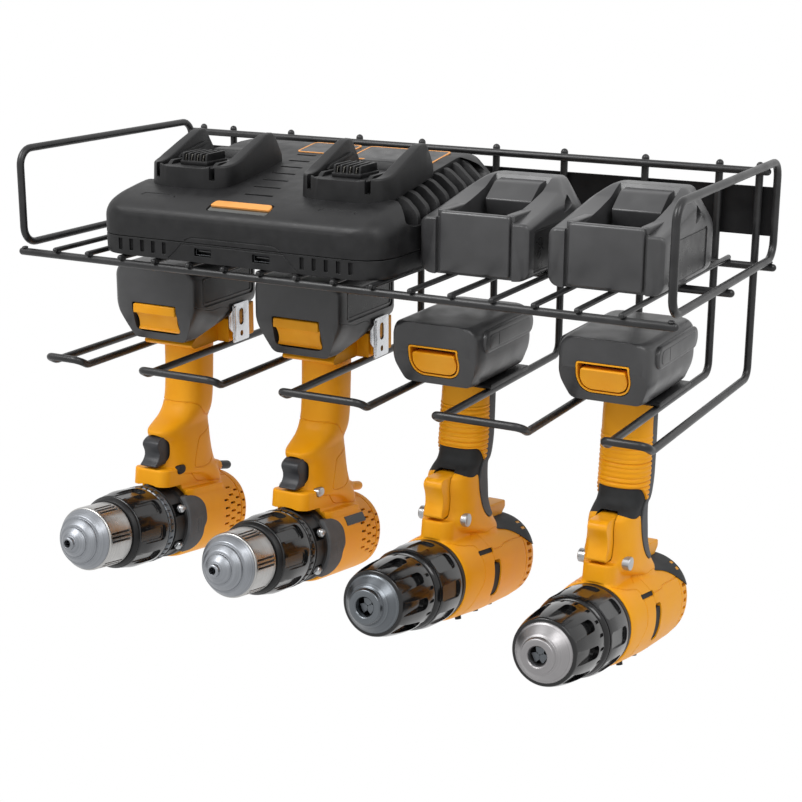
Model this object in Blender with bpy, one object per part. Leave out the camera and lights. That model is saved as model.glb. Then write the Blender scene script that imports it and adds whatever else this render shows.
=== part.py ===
"""Wall rack for charging and storing cordless drills.

The rack is bent and welded from steel wire around a flat back plate.  A twin charger and two spare
battery packs stand on its shelf, and four drills hang upside down by their battery feet from the
arms below.

Frame: metres, +Z up, +X to the right of someone facing the wall, the wall at y = 0 and the user at
-Y.  The origin is the centre of the back plate's rear face.  The drills and packs are modelled the
way they hang or stand, each under an empty at its own seat.
"""
import math
from types import SimpleNamespace

import bmesh
import bpy
from mathutils import Matrix, Vector

# Fits and facets
CLEARANCE = 0.0003
SLIDE_CLEARANCE = 0.0004
OVERRUN = 0.002
WIRE_SIDES = 8
TURNED_SIDES = 20
GRIP_SIDES = 12
GRIP_SQUARENESS = 0.72
ARC_STEP = math.radians(24)
SHARP_ANGLE = math.radians(38)

# Rack: wires, plate and shelf
RACK_WIDTH = 0.450
RACK_DEPTH = 0.199
WIRE = 0.005
CROSS_WIRE = 0.0035
WELD_BITE = 0.0004
PLATE_HEIGHT = 0.0314
PLATE_THICKNESS = 0.0015
PLATE_END_MARGIN = 0.0030
PLATE_SCREW_HOLE = 0.0055
PLATE_SCREW_SPACING = 0.2128
SHELF_DROP = 0.0291
GUARD_HEIGHT = 0.0623
GUARD_CORNER = 0.0110
TOP_RAIL_DROP = 0.0066
RAIL_END = 0.0045
CROSS_WIRE_COUNT = 16
CROSS_WIRE_END = 0.0045
MIDDLE_RAIL_SHARE = 0.47

# Rack: loops that the tools hang from
LOOP_DROP = 0.0810
LOOP_TOP_RISE = 0.0045
LOOP_BEND = 0.0080
LOOP_REACH = 0.1875
LIP_REACH = 0.0090
LIP_RISE = 0.0048
LIP_CORNER = 0.0068
LIP_BEND = 0.0040
TOOL_GAP = 0.0503
END_LOOP_WIDTH = 0.0265
END_LOOP_MARGIN = 0.01165

# Twin charger
CHARGER_WIDTH = 0.212
CHARGER_DEPTH = 0.174
CHARGER_REAR_GAP = 0.0260
CHARGER_REAR_HEIGHT = 0.0575
CHARGER_BASE_HEIGHT = 0.0120
CHARGER_WALL = 0.0025
CHARGER_VENT_PITCH = 0.0085
CHARGER_VENT_WIDTH = 0.0022
CHARGER_VENT_HEIGHT = 0.0080
CHARGER_VENT_DEPTH = 0.0012
CHARGER_VENT_COUNT = 5
USB_WIDTH = 0.0120
USB_HEIGHT = 0.0050
USB_DEPTH = 0.0070
USB_SPACING = 0.0430
BOARD_THICKNESS = 0.0016
BOARD_POST = 0.0040
INLET_WIDTH = 0.0220
DOCK_SPACING = 0.1140
DOCK_WIDTH = 0.0640
DOCK_LENGTH = 0.0720
DOCK_SETBACK = 0.0320
DOCK_HEIGHT = 0.0150
DOCK_CHEEK_RISE = 0.0160
DOCK_CHEEK = 0.0095
DOCK_SLOT = 0.0035
COMB_WIDTH = 0.0200
COMB_LENGTH = 0.0240
COMB_HEIGHT = 0.0060
COMB_BLADE = 0.0012
COMB_BLADE_COUNT = 5

# Spare battery pack, upright: latch end at +Y, rails on top
SPARE_PACK_LENGTH = 0.0920
SPARE_PACK_WIDTH = 0.0725
SPARE_PACK_HEIGHT = 0.0530
SPARE_PACK_REAR_GAP = 0.0650

# Large battery pack of a heavy drill, with the spare pack's rails
LARGE_PACK_LENGTH = 0.0800
LARGE_PACK_WIDTH = 0.0660
LARGE_PACK_HEIGHT = 0.0530
LARGE_RAIL_WIDTH = 0.0440
LARGE_RAIL_FLOOR = 0.0240

# Slim battery pack of a compact drill
SLIM_PACK_LENGTH = 0.0840
SLIM_PACK_WIDTH = 0.0620
SLIM_PACK_HEIGHT = 0.0405
SLIM_RAIL_WIDTH = 0.0340
SLIM_RAIL_FLOOR = 0.0250

# All packs
RAIL_LIP = 0.0025
TERMINAL_SLOT_WIDTH = 0.0200
TERMINAL_SLOT_DEPTH = 0.0100
RAIL_SLOT = 0.0040
RAIL_STEP = 0.0010
LATCH_WIDTH = 0.0320
LARGE_LATCH_HEIGHT = 0.0180
SLIM_LATCH_HEIGHT = 0.0160
LATCH_THICKNESS = 0.0060
LATCH_PROUD = 0.0006
LATCH_EDGE = 0.0012
LATCH_TRAVEL = 0.0030
LARGE_FOOT_LIFT = 0.0070
SLIM_FOOT_LIFT = 0.0040

# Drills
FOOT_PLATE = 0.0050
FOOT_EDGE = 0.0030
TRIGGER_WIDTH = 0.0170
TRIGGER_LENGTH = 0.0300
TRIGGER_TRAVEL = 0.0070
BUTTON_LENGTH = 0.0085
BUTTON_HEIGHT = 0.0060
BUTTON_TRAVEL = 0.0025
BUTTON_LEDGE = 0.0005
SPINDLE_RADIUS = 0.0060
CHUCK_BORE_DEPTH = 0.0150
CLIP_LENGTH = 0.0200
CLIP_HEIGHT = 0.0280
CLIP_THICKNESS = 0.0015
CLIP_SLOT_LENGTH = 0.0110
CLIP_SLOT_WIDTH = 0.0050

# Heavy drill, with the large pack
HEAVY_HEIGHT = 0.1270
HEAVY_GRIP_WIDTH = 0.0320
HEAVY_GRIP_DEPTH = 0.0330
HEAVY_NOSE = 0.1380
HEAVY_CHUCK_LENGTH = 0.0680
HEAVY_CHUCK_RADIUS = 0.0228
HEAVY_RING_LENGTH = 0.0500
HEAVY_RING_RADIUS = 0.0270
HEAVY_FLANGE_LENGTH = 0.0160
HEAVY_BARREL_RADIUS = 0.0276
HEAVY_MOTOR_RADIUS = 0.0195
HEAVY_REAR = 0.0370
HEAVY_CAP_LENGTH = 0.0090
HEAVY_TONGUE_REACH = 0.0520
HEAVY_PACK_AHEAD = 0.0410

# Compact drill, with the slim pack
COMPACT_HEIGHT = 0.1320
COMPACT_GRIP_WIDTH = 0.0320
COMPACT_GRIP_DEPTH = 0.0350
COMPACT_NOSE = 0.1340
COMPACT_CHUCK_LENGTH = 0.0720
COMPACT_CHUCK_RADIUS = 0.0242
COMPACT_RING_LENGTH = 0.0400
COMPACT_RING_RADIUS = 0.0275
COMPACT_FLANGE_LENGTH = 0.0040
COMPACT_BARREL_RADIUS = 0.0300
COMPACT_MOTOR_RADIUS = 0.0225
COMPACT_REAR = 0.0635
COMPACT_CAP_LENGTH = 0.0160
COMPACT_TONGUE_REACH = 0.0440
COMPACT_PACK_AHEAD = 0.0545

# Both drills
BARREL_AHEAD = 0.0080
BARREL_TILT = math.radians(8.5)
TONGUE_WIDTH = 0.0290
TONGUE_HEIGHT = 0.0110
RING_BORE = 0.0150
HORN_RADIUS = 0.0030
HORN_REACH = 0.0200
TONGUE_CLEARANCE = 0.0010
TONGUE_EDGE = 0.0030
LUG_WIDTH = 0.0140
LUG_DEPTH = 0.0100
LUG_HEIGHT = 0.0090
SPIGOT_LENGTH = 0.0030
SPINDLE_NECK = 0.0080

# Outlines as shares of the sizes that they follow
LARGE_PACK_SHARES = (
    # along, half width, shoulder height, top half width, top height
    (0.00, 0.91, 0.56, 0.84, 0.62),
    (0.03, 1.00, 0.58, 0.92, 0.66),
    (0.66, 1.00, 0.76, 0.88, 0.86),
    (0.80, 1.00, 0.64, 0.66, 1.00),
    (0.96, 0.99, 0.58, 0.62, 0.99),
    (1.00, 0.92, 0.57, 0.56, 0.93),
)
LARGE_HUMP_SHARES = (0.64, 0.82)
SLIM_PACK_SHARES = (
    (0.00, 0.90, 0.62, 0.76, 0.96),
    (0.03, 1.00, 0.64, 0.80, 1.00),
    (0.90, 1.00, 0.64, 0.76, 1.00),
    (0.97, 0.90, 0.62, 0.66, 0.97),
    (1.00, 0.80, 0.60, 0.56, 0.86),
)
SLIM_HUMP_SHARES = (0.62, 0.70)
PACK_FOOT_SHARE = 0.10
HEAVY_GRIP_SHARES = (
    # down from the seat, front, back, width
    (0.00, 0.52, -0.48, 1.00),
    (0.16, 0.48, -0.47, 1.00),
    (0.30, 0.52, -0.45, 1.00),
    (0.38, 0.72, -0.43, 0.97),
    (0.428, 1.20, -0.43, 0.94),
    (0.452, 1.24, -0.43, 0.94),
    (0.460, 0.86, -0.43, 0.95),
    (0.53, 0.78, -0.44, 0.96),
    (0.62, 0.88, -0.50, 1.00),
    (0.66, 1.04, -0.56, 1.04),
    (0.74, 1.04, -0.66, 1.06),
    (0.80, 1.04, -0.74, 1.08),
    (0.94, 0.96, -0.74, 1.08),
)
COMPACT_GRIP_SHARES = (
    (0.00, 0.50, -0.50, 0.96),
    (0.10, 0.48, -0.50, 1.00),
    (0.30, 0.50, -0.52, 1.02),
    (0.40, 0.56, -0.48, 1.00),
    (0.445, 0.92, -0.44, 0.98),
    (0.460, 0.84, -0.43, 0.98),
    (0.53, 0.78, -0.42, 1.00),
    (0.62, 0.84, -0.44, 1.06),
    (0.66, 1.00, -0.50, 1.10),
    (0.74, 1.04, -0.66, 1.13),
    (0.80, 1.06, -0.78, 1.16),
    (0.94, 1.00, -0.78, 1.16),
)
GRIP_LEAN_SHARE = 0.085
NECK_END_SHARE = 0.35
HEAVY_CHUCK_SHARES = (
    (0.00, 0.92), (0.03, 0.98), (0.44, 1.00), (0.48, 0.96), (0.66, 0.80), (0.68, 0.74),
    (0.82, 0.60), (0.84, 0.52), (0.92, 0.42), (0.93, 0.33), (1.00, 0.29),
)
HEAVY_RING_SHARES = ((0.00, 0.94), (0.05, 1.00), (0.60, 0.99), (0.80, 0.93), (0.84, 0.88), (1.00, 0.88))
COMPACT_CHUCK_SHARES = (
    (0.00, 0.95), (0.03, 1.00), (0.55, 0.97), (0.70, 0.90), (0.72, 0.84), (0.90, 0.64),
    (0.94, 0.46), (0.97, 0.40), (1.00, 0.34),
)
COMPACT_RING_SHARES = ((0.00, 0.94), (0.06, 1.00), (0.70, 1.00), (0.94, 0.96), (1.00, 0.92))
HEAVY_SHELL_SHARES = ((0.00, 0.95), (0.06, 1.00), (0.80, 1.00), (1.00, 0.92))
HEAVY_CAP_SHARES = ((0.00, 0.92), (0.45, 0.86), (0.80, 0.76), (1.00, 0.60))
COMPACT_SHELL_SHARES = ((0.00, 0.93), (0.06, 0.98), (0.30, 1.00), (0.85, 1.00), (1.00, 0.94))
COMPACT_CAP_SHARES = ((0.00, 0.94), (0.45, 0.88), (0.80, 0.74), (1.00, 0.56))
CHARGER_COVER_SHARES = (
    # along from the front, side height, deck height, half width, deck half width
    (0.000, 0.42, 0.50, 0.86, 0.84),
    (0.012, 0.46, 0.56, 0.93, 0.88),
    (0.045, 0.50, 0.62, 0.98, 0.91),
    (0.110, 0.52, 0.67, 1.00, 0.91),
    (0.700, 0.74, 0.94, 1.00, 0.85),
    (0.860, 0.72, 1.00, 1.00, 0.83),
    (0.960, 0.70, 0.98, 0.98, 0.82),
    (1.000, 0.66, 0.90, 0.92, 0.78),
)
BOARD_SHARE = 0.66
VENT_START_SHARE = 0.48
DOCK_SHARES = (
    # along, width, cheek rise
    (0.00, 0.62, 0.00),
    (0.05, 0.82, 0.00),
    (0.14, 0.96, 0.02),
    (0.24, 1.00, 0.10),
    (0.86, 1.00, 1.00),
    (1.00, 0.98, 1.00),
)
SLOT_SHARE = 0.62
SLOT_LENGTH_SHARE = 0.70
COMB_PLACE_SHARE = 0.16
COMB_BASE_SHARE = 0.35
TERMINAL_SHARE = 0.22
LARGE_LATCH_SHARE = 0.71
SLIM_LATCH_SHARE = 0.62
GRIP_ROOT_SHARE = 0.5
FOOT_OVERHANG_SHARE = 0.8
BIT_HOLE_SHARE = 0.7
HORN_ROOT_SHARE = 0.30
HORN_DROP_SHARES = (0.75, 0.84)
HORN_SHARES = ((0.00, 2.6), (0.25, 1.6), (0.50, 1.1), (0.70, 1.0), (1.00, 1.0))
HEAVY_TRIGGER_TOP_SHARE = 0.480
COMPACT_TRIGGER_TOP_SHARE = 0.455
TRIGGER_FRONT_SHARE = 1.55
TRIGGER_SIDE_SHARES = ((-1.0, 0.88), (-0.7, 1.0), (0.7, 1.0), (1.0, 0.88))
TRIGGER_FACE_SHARES = ((1.0, 0.92), (0.85, 1.00), (0.50, 0.84), (0.20, 0.86), (0.0, 0.80))
BUTTON_SPAN_SHARE = 1.04
BUTTON_DROP_SHARE = 0.665
BUTTON_AHEAD_SHARE = 0.66
CLIP_PLACE_SHARE = 0.56
CLIP_BOSS_SHARE = 0.45

TRIGGER_HEIGHT_SHARE = 0.143
SHELF_GAP_SHARES = (0.6420, 0.0313, 0.1307)
TOOL_ROW_SHARES = (
    # name, kind, pitches from the middle, grip from the wall by the arm's reach, drop by its height
    ("drill_1", "heavy", -1.5, 0.5547, 1.0000),
    ("drill_2", "heavy", -0.5, 0.5067, 1.0118),
    ("drill_3", "compact", 0.5, 0.5013, 1.0000),
    ("drill_4", "compact", 1.5, 0.4320, 1.1061),
)

# Heights that the rest is hung on
GUARD_LOW = -SHELF_DROP
GUARD_HIGH = GUARD_LOW + GUARD_HEIGHT
TOP_RAIL_Z = GUARD_HIGH - TOP_RAIL_DROP
RAIL_Z = GUARD_LOW - WIRE - CLEARANCE
CROSS_Z = RAIL_Z + (WIRE + CROSS_WIRE) / 2 - WELD_BITE
SHELF_TOP = CROSS_Z + CROSS_WIRE / 2
ARM_Z = GUARD_LOW - LOOP_DROP
SEAT_Z = ARM_Z + WIRE / 2
UPRIGHT_Y = -(PLATE_THICKNESS + CLEARANCE + WIRE / 2)
BACK_RAIL_Y = UPRIGHT_Y - WIRE - CLEARANCE

# Places across the rack
TOOL_PLACES = [row[2] for row in TOOL_ROW_SHARES]
TOOL_SPREAD = RACK_WIDTH / 2 - END_LOOP_MARGIN - END_LOOP_WIDTH - TOOL_GAP / 2
TOOL_PITCH = TOOL_SPREAD / TOOL_PLACES[-1]
SHELF_FREE = RACK_WIDTH - WIRE - CHARGER_WIDTH - 2 * SPARE_PACK_WIDTH
CHARGER_X = WIRE / 2 - RACK_WIDTH / 2 + SHELF_FREE * SHELF_GAP_SHARES[0] + CHARGER_WIDTH / 2
FIRST_PACK_X = CHARGER_X + CHARGER_WIDTH / 2 + SHELF_FREE * SHELF_GAP_SHARES[1] + SPARE_PACK_WIDTH / 2
SECOND_PACK_X = FIRST_PACK_X + SPARE_PACK_WIDTH + SHELF_FREE * SHELF_GAP_SHARES[2]

COLOURS = {
    # name: (red, green, blue), roughness, metallic
    "powder_coat": ((0.020, 0.020, 0.022), 0.45, 0.0),
    "charger_black": ((0.018, 0.018, 0.019), 0.55, 0.0),
    "pack_grey": ((0.060, 0.060, 0.062), 0.50, 0.0),
    "yellow_plastic": ((0.860, 0.350, 0.015), 0.42, 0.0),
    "trigger_grey": ((0.050, 0.050, 0.053), 0.50, 0.0),
    "dark_metal": ((0.050, 0.050, 0.055), 0.30, 0.9),
    "collar_black": ((0.022, 0.022, 0.024), 0.38, 0.0),
    "bright_steel": ((0.560, 0.560, 0.580), 0.25, 1.0),
    "black_plastic": ((0.012, 0.012, 0.013), 0.45, 0.0),
    "board_green": ((0.020, 0.140, 0.060), 0.50, 0.0),
}


def clear_scene():
    """Empty the scene, so that only the rack is in it."""
    for item in list(bpy.data.objects):
        bpy.data.objects.remove(item, do_unlink=True)


def material(name):
    """The named plastic or metal, made once."""
    found = bpy.data.materials.get(name)
    if found:
        return found
    colour, roughness, metallic = COLOURS[name]
    made = bpy.data.materials.new(name)
    made.use_nodes = True
    shader = made.node_tree.nodes["Principled BSDF"]
    shader.inputs["Base Color"].default_value = (*colour, 1.0)
    shader.inputs["Roughness"].default_value = roughness
    shader.inputs["Metallic"].default_value = metallic
    made.diffuse_color = (*colour, 1.0)
    return made


def empty(name, place, parent=None, turn=(0.0, 0.0, 0.0)):
    """A seat or an axis that other pieces hang under."""
    seat = bpy.data.objects.new(name, None)
    bpy.context.scene.collection.objects.link(seat)
    seat.parent = parent
    seat.location = place
    seat.rotation_euler = turn
    return seat


def piece(name, bm, finish, parent=None, place=(0.0, 0.0, 0.0)):
    """Turn a bmesh into a named object with its faces outward and its round faces smooth."""
    bmesh.ops.recalc_face_normals(bm, faces=bm.faces)
    mesh = bpy.data.meshes.new(name)
    bm.to_mesh(mesh)
    bm.free()
    mesh.materials.append(material(finish))
    mesh.shade_smooth()
    mesh.set_sharp_from_angle(angle=SHARP_ANGLE)
    item = bpy.data.objects.new(name, mesh)
    bpy.context.scene.collection.objects.link(item)
    item.parent = parent
    item.location = place
    return item


def helper(name, bm, target, operation):
    """Cut a shape from a piece, or weld it on, with an exact Boolean."""
    tool = piece(name, bm, "black_plastic", target.parent, target.location)
    tool.hide_render = True
    tool.display_type = 'WIRE'
    step = target.modifiers.new(name, 'BOOLEAN')
    step.operation = operation
    step.solver = 'EXACT'
    step.object = tool
    return tool


def cut(target, name, bm):
    """Take a shape out of a piece."""
    return helper(target.name + "." + name, bm, target, 'DIFFERENCE')


def weld(target, name, bm):
    """Join a shape onto a piece."""
    return helper(target.name + "." + name, bm, target, 'UNION')


def skin(rings, closed=False):
    """One body through a row of outlines that have equal counts of points."""
    bm = bmesh.new()
    rows = [[bm.verts.new(point) for point in ring] for ring in rings]
    pairs = list(zip(rows, rows[1:]))
    if closed:
        pairs.append((rows[-1], rows[0]))
    for low, high in pairs:
        count = len(low)
        for index in range(count):
            after = (index + 1) % count
            bm.faces.new((low[index], low[after], high[after], high[index]))
    if not closed:
        bm.faces.new(list(reversed(rows[0])))
        bm.faces.new(rows[-1])
    return bm


def block(low, high, edge=0.0, steps=1):
    """A box between two corners, with its edges rounded by a bevel."""
    bm = bmesh.new()
    size = Vector(high) - Vector(low)
    middle = (Vector(high) + Vector(low)) / 2
    frame = Matrix.Translation(middle) @ Matrix.Diagonal((*size, 1.0))
    bmesh.ops.create_cube(bm, size=1.0, matrix=frame)
    if edge > 0.0:
        bmesh.ops.bevel(bm, geom=list(bm.edges), offset=edge, segments=steps, profile=0.5,
                        affect='EDGES', clamp_overlap=True)
    return bm


def prism(outline, low, high):
    """An outline in (y, z), extruded along X."""
    return skin([[(x, y, z) for y, z in outline] for x in (low, high)])


def circle(radius, sides, start=0.0):
    """Points round a circle."""
    turn = 2 * math.pi / sides
    return [(radius * math.cos(start + turn * k), radius * math.sin(start + turn * k))
            for k in range(sides)]


def turned(stations, sides=TURNED_SIDES):
    """A body turned about the Y axis, from (distance ahead, radius) stations."""
    return skin([[(x, -ahead, z) for x, z in circle(radius, sides)] for ahead, radius in stations])


def turned_ring(stations, bore, sides=TURNED_SIDES):
    """A turned body with a straight bore through it."""
    outer = [(ahead, radius) for ahead, radius in stations]
    inner = [(outer[-1][0], bore), (outer[0][0], bore)]
    rings = [[(x, -ahead, z) for x, z in circle(radius, sides)] for ahead, radius in outer + inner]
    return skin(rings, closed=True)


def along(shares, start, length, radius):
    """Stations from shares of a length and a radius."""
    return [(start + share * length, size * radius) for share, size in shares]


def rounded_path(corners, closed=False):
    """A path through (point, radius) corners, each turned as an arc."""
    points = []
    count = len(corners)
    for index, (corner, radius) in enumerate(corners):
        here = Vector(corner)
        if not closed and index in (0, count - 1):
            points.append(here)
            continue
        before = Vector(corners[index - 1][0])
        after = Vector(corners[(index + 1) % count][0])
        into = (here - before).normalized()
        out = (after - here).normalized()
        bend = into.angle(out)
        setback = radius * math.tan(bend / 2)
        steps = max(1, round(bend / ARC_STEP))
        axis = into.cross(out).normalized()
        centre = here - into * setback + axis.cross(into) * radius
        arm = here - into * setback - centre
        for step in range(steps + 1):
            points.append(centre + Matrix.Rotation(bend * step / steps, 3, axis) @ arm)
    return points


def wire_rod(name, points, diameter, finish, closed=False):
    """A bent wire: a poly curve with a round bevel and filled ends."""
    curve = bpy.data.curves.new(name, 'CURVE')
    curve.dimensions = '3D'
    curve.bevel_depth = diameter / 2
    curve.bevel_resolution = WIRE_SIDES // 4
    curve.use_fill_caps = not closed
    spline = curve.splines.new('POLY')
    spline.points.add(len(points) - 1)
    for spot, point in zip(spline.points, points):
        spot.co = (*point, 1.0)
    spline.use_cyclic_u = closed
    spline.use_smooth = True
    curve.materials.append(material(finish))
    rod = bpy.data.objects.new(name, curve)
    bpy.context.scene.collection.objects.link(rod)
    return rod


def straight_wires(wires):
    """One mesh of straight wires, each given by its two ends and its diameter."""
    bm = bmesh.new()
    for start, end, diameter in wires:
        run = Vector(end) - Vector(start)
        place = Matrix.Translation((Vector(start) + Vector(end)) / 2)
        turn = Vector((0.0, 0.0, 1.0)).rotation_difference(run.normalized()).to_matrix().to_4x4()
        bmesh.ops.create_cone(bm, cap_ends=True, segments=WIRE_SIDES, radius1=diameter / 2,
                              radius2=diameter / 2, depth=run.length, matrix=place @ turn)
    return bm


def build_shelf():
    """The shelf: three rails under a row of cross wires, welded into one grid."""
    rail_end = RACK_WIDTH / 2 + RAIL_END
    middle_y = -RACK_DEPTH + (RACK_DEPTH + BACK_RAIL_Y) * (1 - MIDDLE_RAIL_SHARE)
    rails = [((-rail_end, y, RAIL_Z), (rail_end, y, RAIL_Z), WIRE)
             for y in (-RACK_DEPTH, middle_y, BACK_RAIL_Y)]
    shelf = piece("shelf_grid", straight_wires(rails), "powder_coat")
    pitch = cross_wire_pitch()
    front = -RACK_DEPTH - CROSS_WIRE_END
    rear = BACK_RAIL_Y + WIRE / 2
    first = -pitch * (CROSS_WIRE_COUNT - 1) / 2
    wires = [((first + pitch * k, front, CROSS_Z), (first + pitch * k, rear, CROSS_Z), CROSS_WIRE)
             for k in range(CROSS_WIRE_COUNT)]
    weld(shelf, "cross_wires", straight_wires(wires))


def cross_wire_pitch():
    """Spacing of the cross wires, so that the outer ones stay inside the side guards."""
    return (RACK_WIDTH + CROSS_WIRE) / (CROSS_WIRE_COUNT + 1.25)


def build_plate():
    """The flat strip that is screwed to the wall."""
    half = RACK_WIDTH / 2 - PLATE_END_MARGIN
    low = (-half, -PLATE_THICKNESS, -PLATE_HEIGHT / 2)
    high = (half, 0.0, PLATE_HEIGHT / 2)
    plate = piece("back_plate", block(low, high), "powder_coat")
    for side, x in (("left", -PLATE_SCREW_SPACING / 2), ("right", PLATE_SCREW_SPACING / 2)):
        hole = [[(x + u, y, v) for u, v in circle(PLATE_SCREW_HOLE / 2, TURNED_SIDES)]
                for y in (-PLATE_THICKNESS - OVERRUN, OVERRUN)]
        cut(plate, "screw_hole_" + side, skin(hole))


def build_rails():
    """The top rail and the two rounded side guards."""
    top_half = RACK_WIDTH / 2 - WIRE / 2 - CLEARANCE
    wire_rod("top_rail", [Vector((-top_half, BACK_RAIL_Y, TOP_RAIL_Z)),
                          Vector((top_half, BACK_RAIL_Y, TOP_RAIL_Z))], WIRE, "powder_coat")
    for side, sign in (("left", -1), ("right", 1)):
        x = sign * RACK_WIDTH / 2
        corners = [((x, -RACK_DEPTH, GUARD_LOW), GUARD_CORNER), ((x, UPRIGHT_Y, GUARD_LOW), GUARD_CORNER),
                   ((x, UPRIGHT_Y, GUARD_HIGH), GUARD_CORNER), ((x, -RACK_DEPTH, GUARD_HIGH), GUARD_CORNER)]
        wire_rod("side_guard_" + side, rounded_path(corners, closed=True), WIRE, "powder_coat", closed=True)


def loop_edges():
    """Left and right edge of each tool loop, from the gaps that the tools hang in."""
    middle = [TOOL_PITCH * place for place in TOOL_PLACES]
    inner = [(a + TOOL_GAP / 2, b - TOOL_GAP / 2) for a, b in zip(middle, middle[1:])]
    left = (middle[0] - TOOL_GAP / 2 - END_LOOP_WIDTH, middle[0] - TOOL_GAP / 2)
    right = (middle[-1] + TOOL_GAP / 2, middle[-1] + TOOL_GAP / 2 + END_LOOP_WIDTH)
    return [left, *inner, right]


def build_loops():
    """Five loops of wire: down the wall, forward as two arms, and up into a lip."""
    top = TOP_RAIL_Z + LOOP_TOP_RISE
    lip_y = -LOOP_REACH - LIP_REACH
    lip_z = ARM_Z + LIP_RISE
    for number, (left, right) in enumerate(loop_edges(), start=1):
        corners = [((left, UPRIGHT_Y, top), 0.0), ((left, UPRIGHT_Y, ARM_Z), LOOP_BEND),
                   ((left, -LOOP_REACH, ARM_Z), LIP_BEND), ((left, lip_y, lip_z), LIP_CORNER),
                   ((right, lip_y, lip_z), LIP_CORNER), ((right, -LOOP_REACH, ARM_Z), LIP_BEND),
                   ((right, UPRIGHT_Y, ARM_Z), LOOP_BEND), ((right, UPRIGHT_Y, top), 0.0)]
        wire_rod("tool_loop_%d" % number, rounded_path(corners), WIRE, "powder_coat")


def deck_height(share):
    """Height of the charger's deck above its foot, at a share of its depth from the front."""
    stations = [(row[0], row[2]) for row in CHARGER_COVER_SHARES]
    for (low, low_height), (high, high_height) in zip(stations, stations[1:]):
        if share <= high:
            mix = (share - low) / (high - low)
            return (low_height + mix * (high_height - low_height)) * CHARGER_REAR_HEIGHT
    return stations[-1][1] * CHARGER_REAR_HEIGHT


def cover_rings(bottom, inset):
    """Cross sections of the charger's cover, drawn in by a wall for its hollow."""
    rings = []
    for share, side, deck, half, deck_half in CHARGER_COVER_SHARES:
        y = -CHARGER_DEPTH / 2 + share * CHARGER_DEPTH
        y = max(-CHARGER_DEPTH / 2 + inset, min(CHARGER_DEPTH / 2 - inset, y + inset * (1 - 2 * share)))
        wide = half * CHARGER_WIDTH / 2 - inset
        narrow = deck_half * CHARGER_WIDTH / 2 - inset
        shoulder = side * CHARGER_REAR_HEIGHT - inset / 2
        top = deck * CHARGER_REAR_HEIGHT - inset
        rings.append([(-wide, y, bottom), (-wide, y, shoulder), (-narrow, y, top),
                      (narrow, y, top), (wide, y, shoulder), (wide, y, bottom)])
    return rings


def base_outline(inset):
    """Plan of the charger, from the cover's widths, drawn in by a wall."""
    right = []
    for ring in cover_rings(0.0, inset):
        x, y, _ = ring[-1]
        right.append((x, y))
    return right + [(-x, y) for x, y in reversed(right)]


def build_charger():
    """The twin charger, standing on the cross wires."""
    seat_y = -CHARGER_REAR_GAP - CHARGER_DEPTH / 2
    seat = empty("charger_seat", (CHARGER_X, seat_y, SHELF_TOP + CLEARANCE))
    top = CHARGER_BASE_HEIGHT
    base = piece("charger_base", skin([[(x, y, z) for x, y in base_outline(0.0)] for z in (0.0, top)]),
                 "charger_black", seat)
    floor = CHARGER_WALL
    cut(base, "tray", skin([[(x, y, z) for x, y in base_outline(CHARGER_WALL)]
                            for z in (floor, top + OVERRUN)]))
    board_x = CHARGER_WIDTH * BOARD_SHARE / 2
    board_y = CHARGER_DEPTH * BOARD_SHARE / 2
    post = BOARD_POST / 2
    for side, x in (("left", post - board_x), ("right", board_x - post)):
        for end, y in (("front", post - board_y), ("rear", board_y - post)):
            weld(base, "post_%s_%s" % (side, end),
                 block((x - post, y - post, floor / 2), (x + post, y + post, floor + BOARD_POST)))
    low = floor + BOARD_POST + CLEARANCE
    piece("charger_board", block((-board_x, -board_y, low), (board_x, board_y, low + BOARD_THICKNESS)),
          "board_green", seat)
    front = -CHARGER_DEPTH / 2
    for side, x in (("left", -USB_SPACING / 2), ("right", USB_SPACING / 2)):
        port = block((x - USB_WIDTH / 2, front - OVERRUN, floor + BOARD_POST - USB_HEIGHT / 2),
                     (x + USB_WIDTH / 2, front + USB_DEPTH, floor + BOARD_POST + USB_HEIGHT / 2))
        cut(base, "usb_port_" + side, port)
    rear = CHARGER_DEPTH / 2
    cut(base, "mains_inlet", block((-INLET_WIDTH / 2, rear - CHARGER_WALL - OVERRUN, floor),
                                   (INLET_WIDTH / 2, rear + OVERRUN, top + OVERRUN)))
    for side, start in (("left", -VENT_START_SHARE), ("right", VENT_START_SHARE)):
        sign = math.copysign(1, start)
        for k in range(CHARGER_VENT_COUNT):
            x = start * CHARGER_WIDTH / 2 + sign * k * CHARGER_VENT_PITCH
            slot_low = (x - CHARGER_VENT_WIDTH / 2, front - OVERRUN, floor)
            slot_high = (x + CHARGER_VENT_WIDTH / 2, front + CHARGER_VENT_DEPTH, floor + CHARGER_VENT_HEIGHT)
            cut(base, "vent_%s_%d" % (side, k), block(slot_low, slot_high))
    seam = top + CLEARANCE
    cover = piece("charger_cover", skin(cover_rings(seam, 0.0)), "charger_black", seat)
    cut(cover, "hollow", skin(cover_rings(seam - OVERRUN, CHARGER_WALL)))
    for side, x in (("left", -DOCK_SPACING / 2), ("right", DOCK_SPACING / 2)):
        build_dock(side, x, seat)


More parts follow.
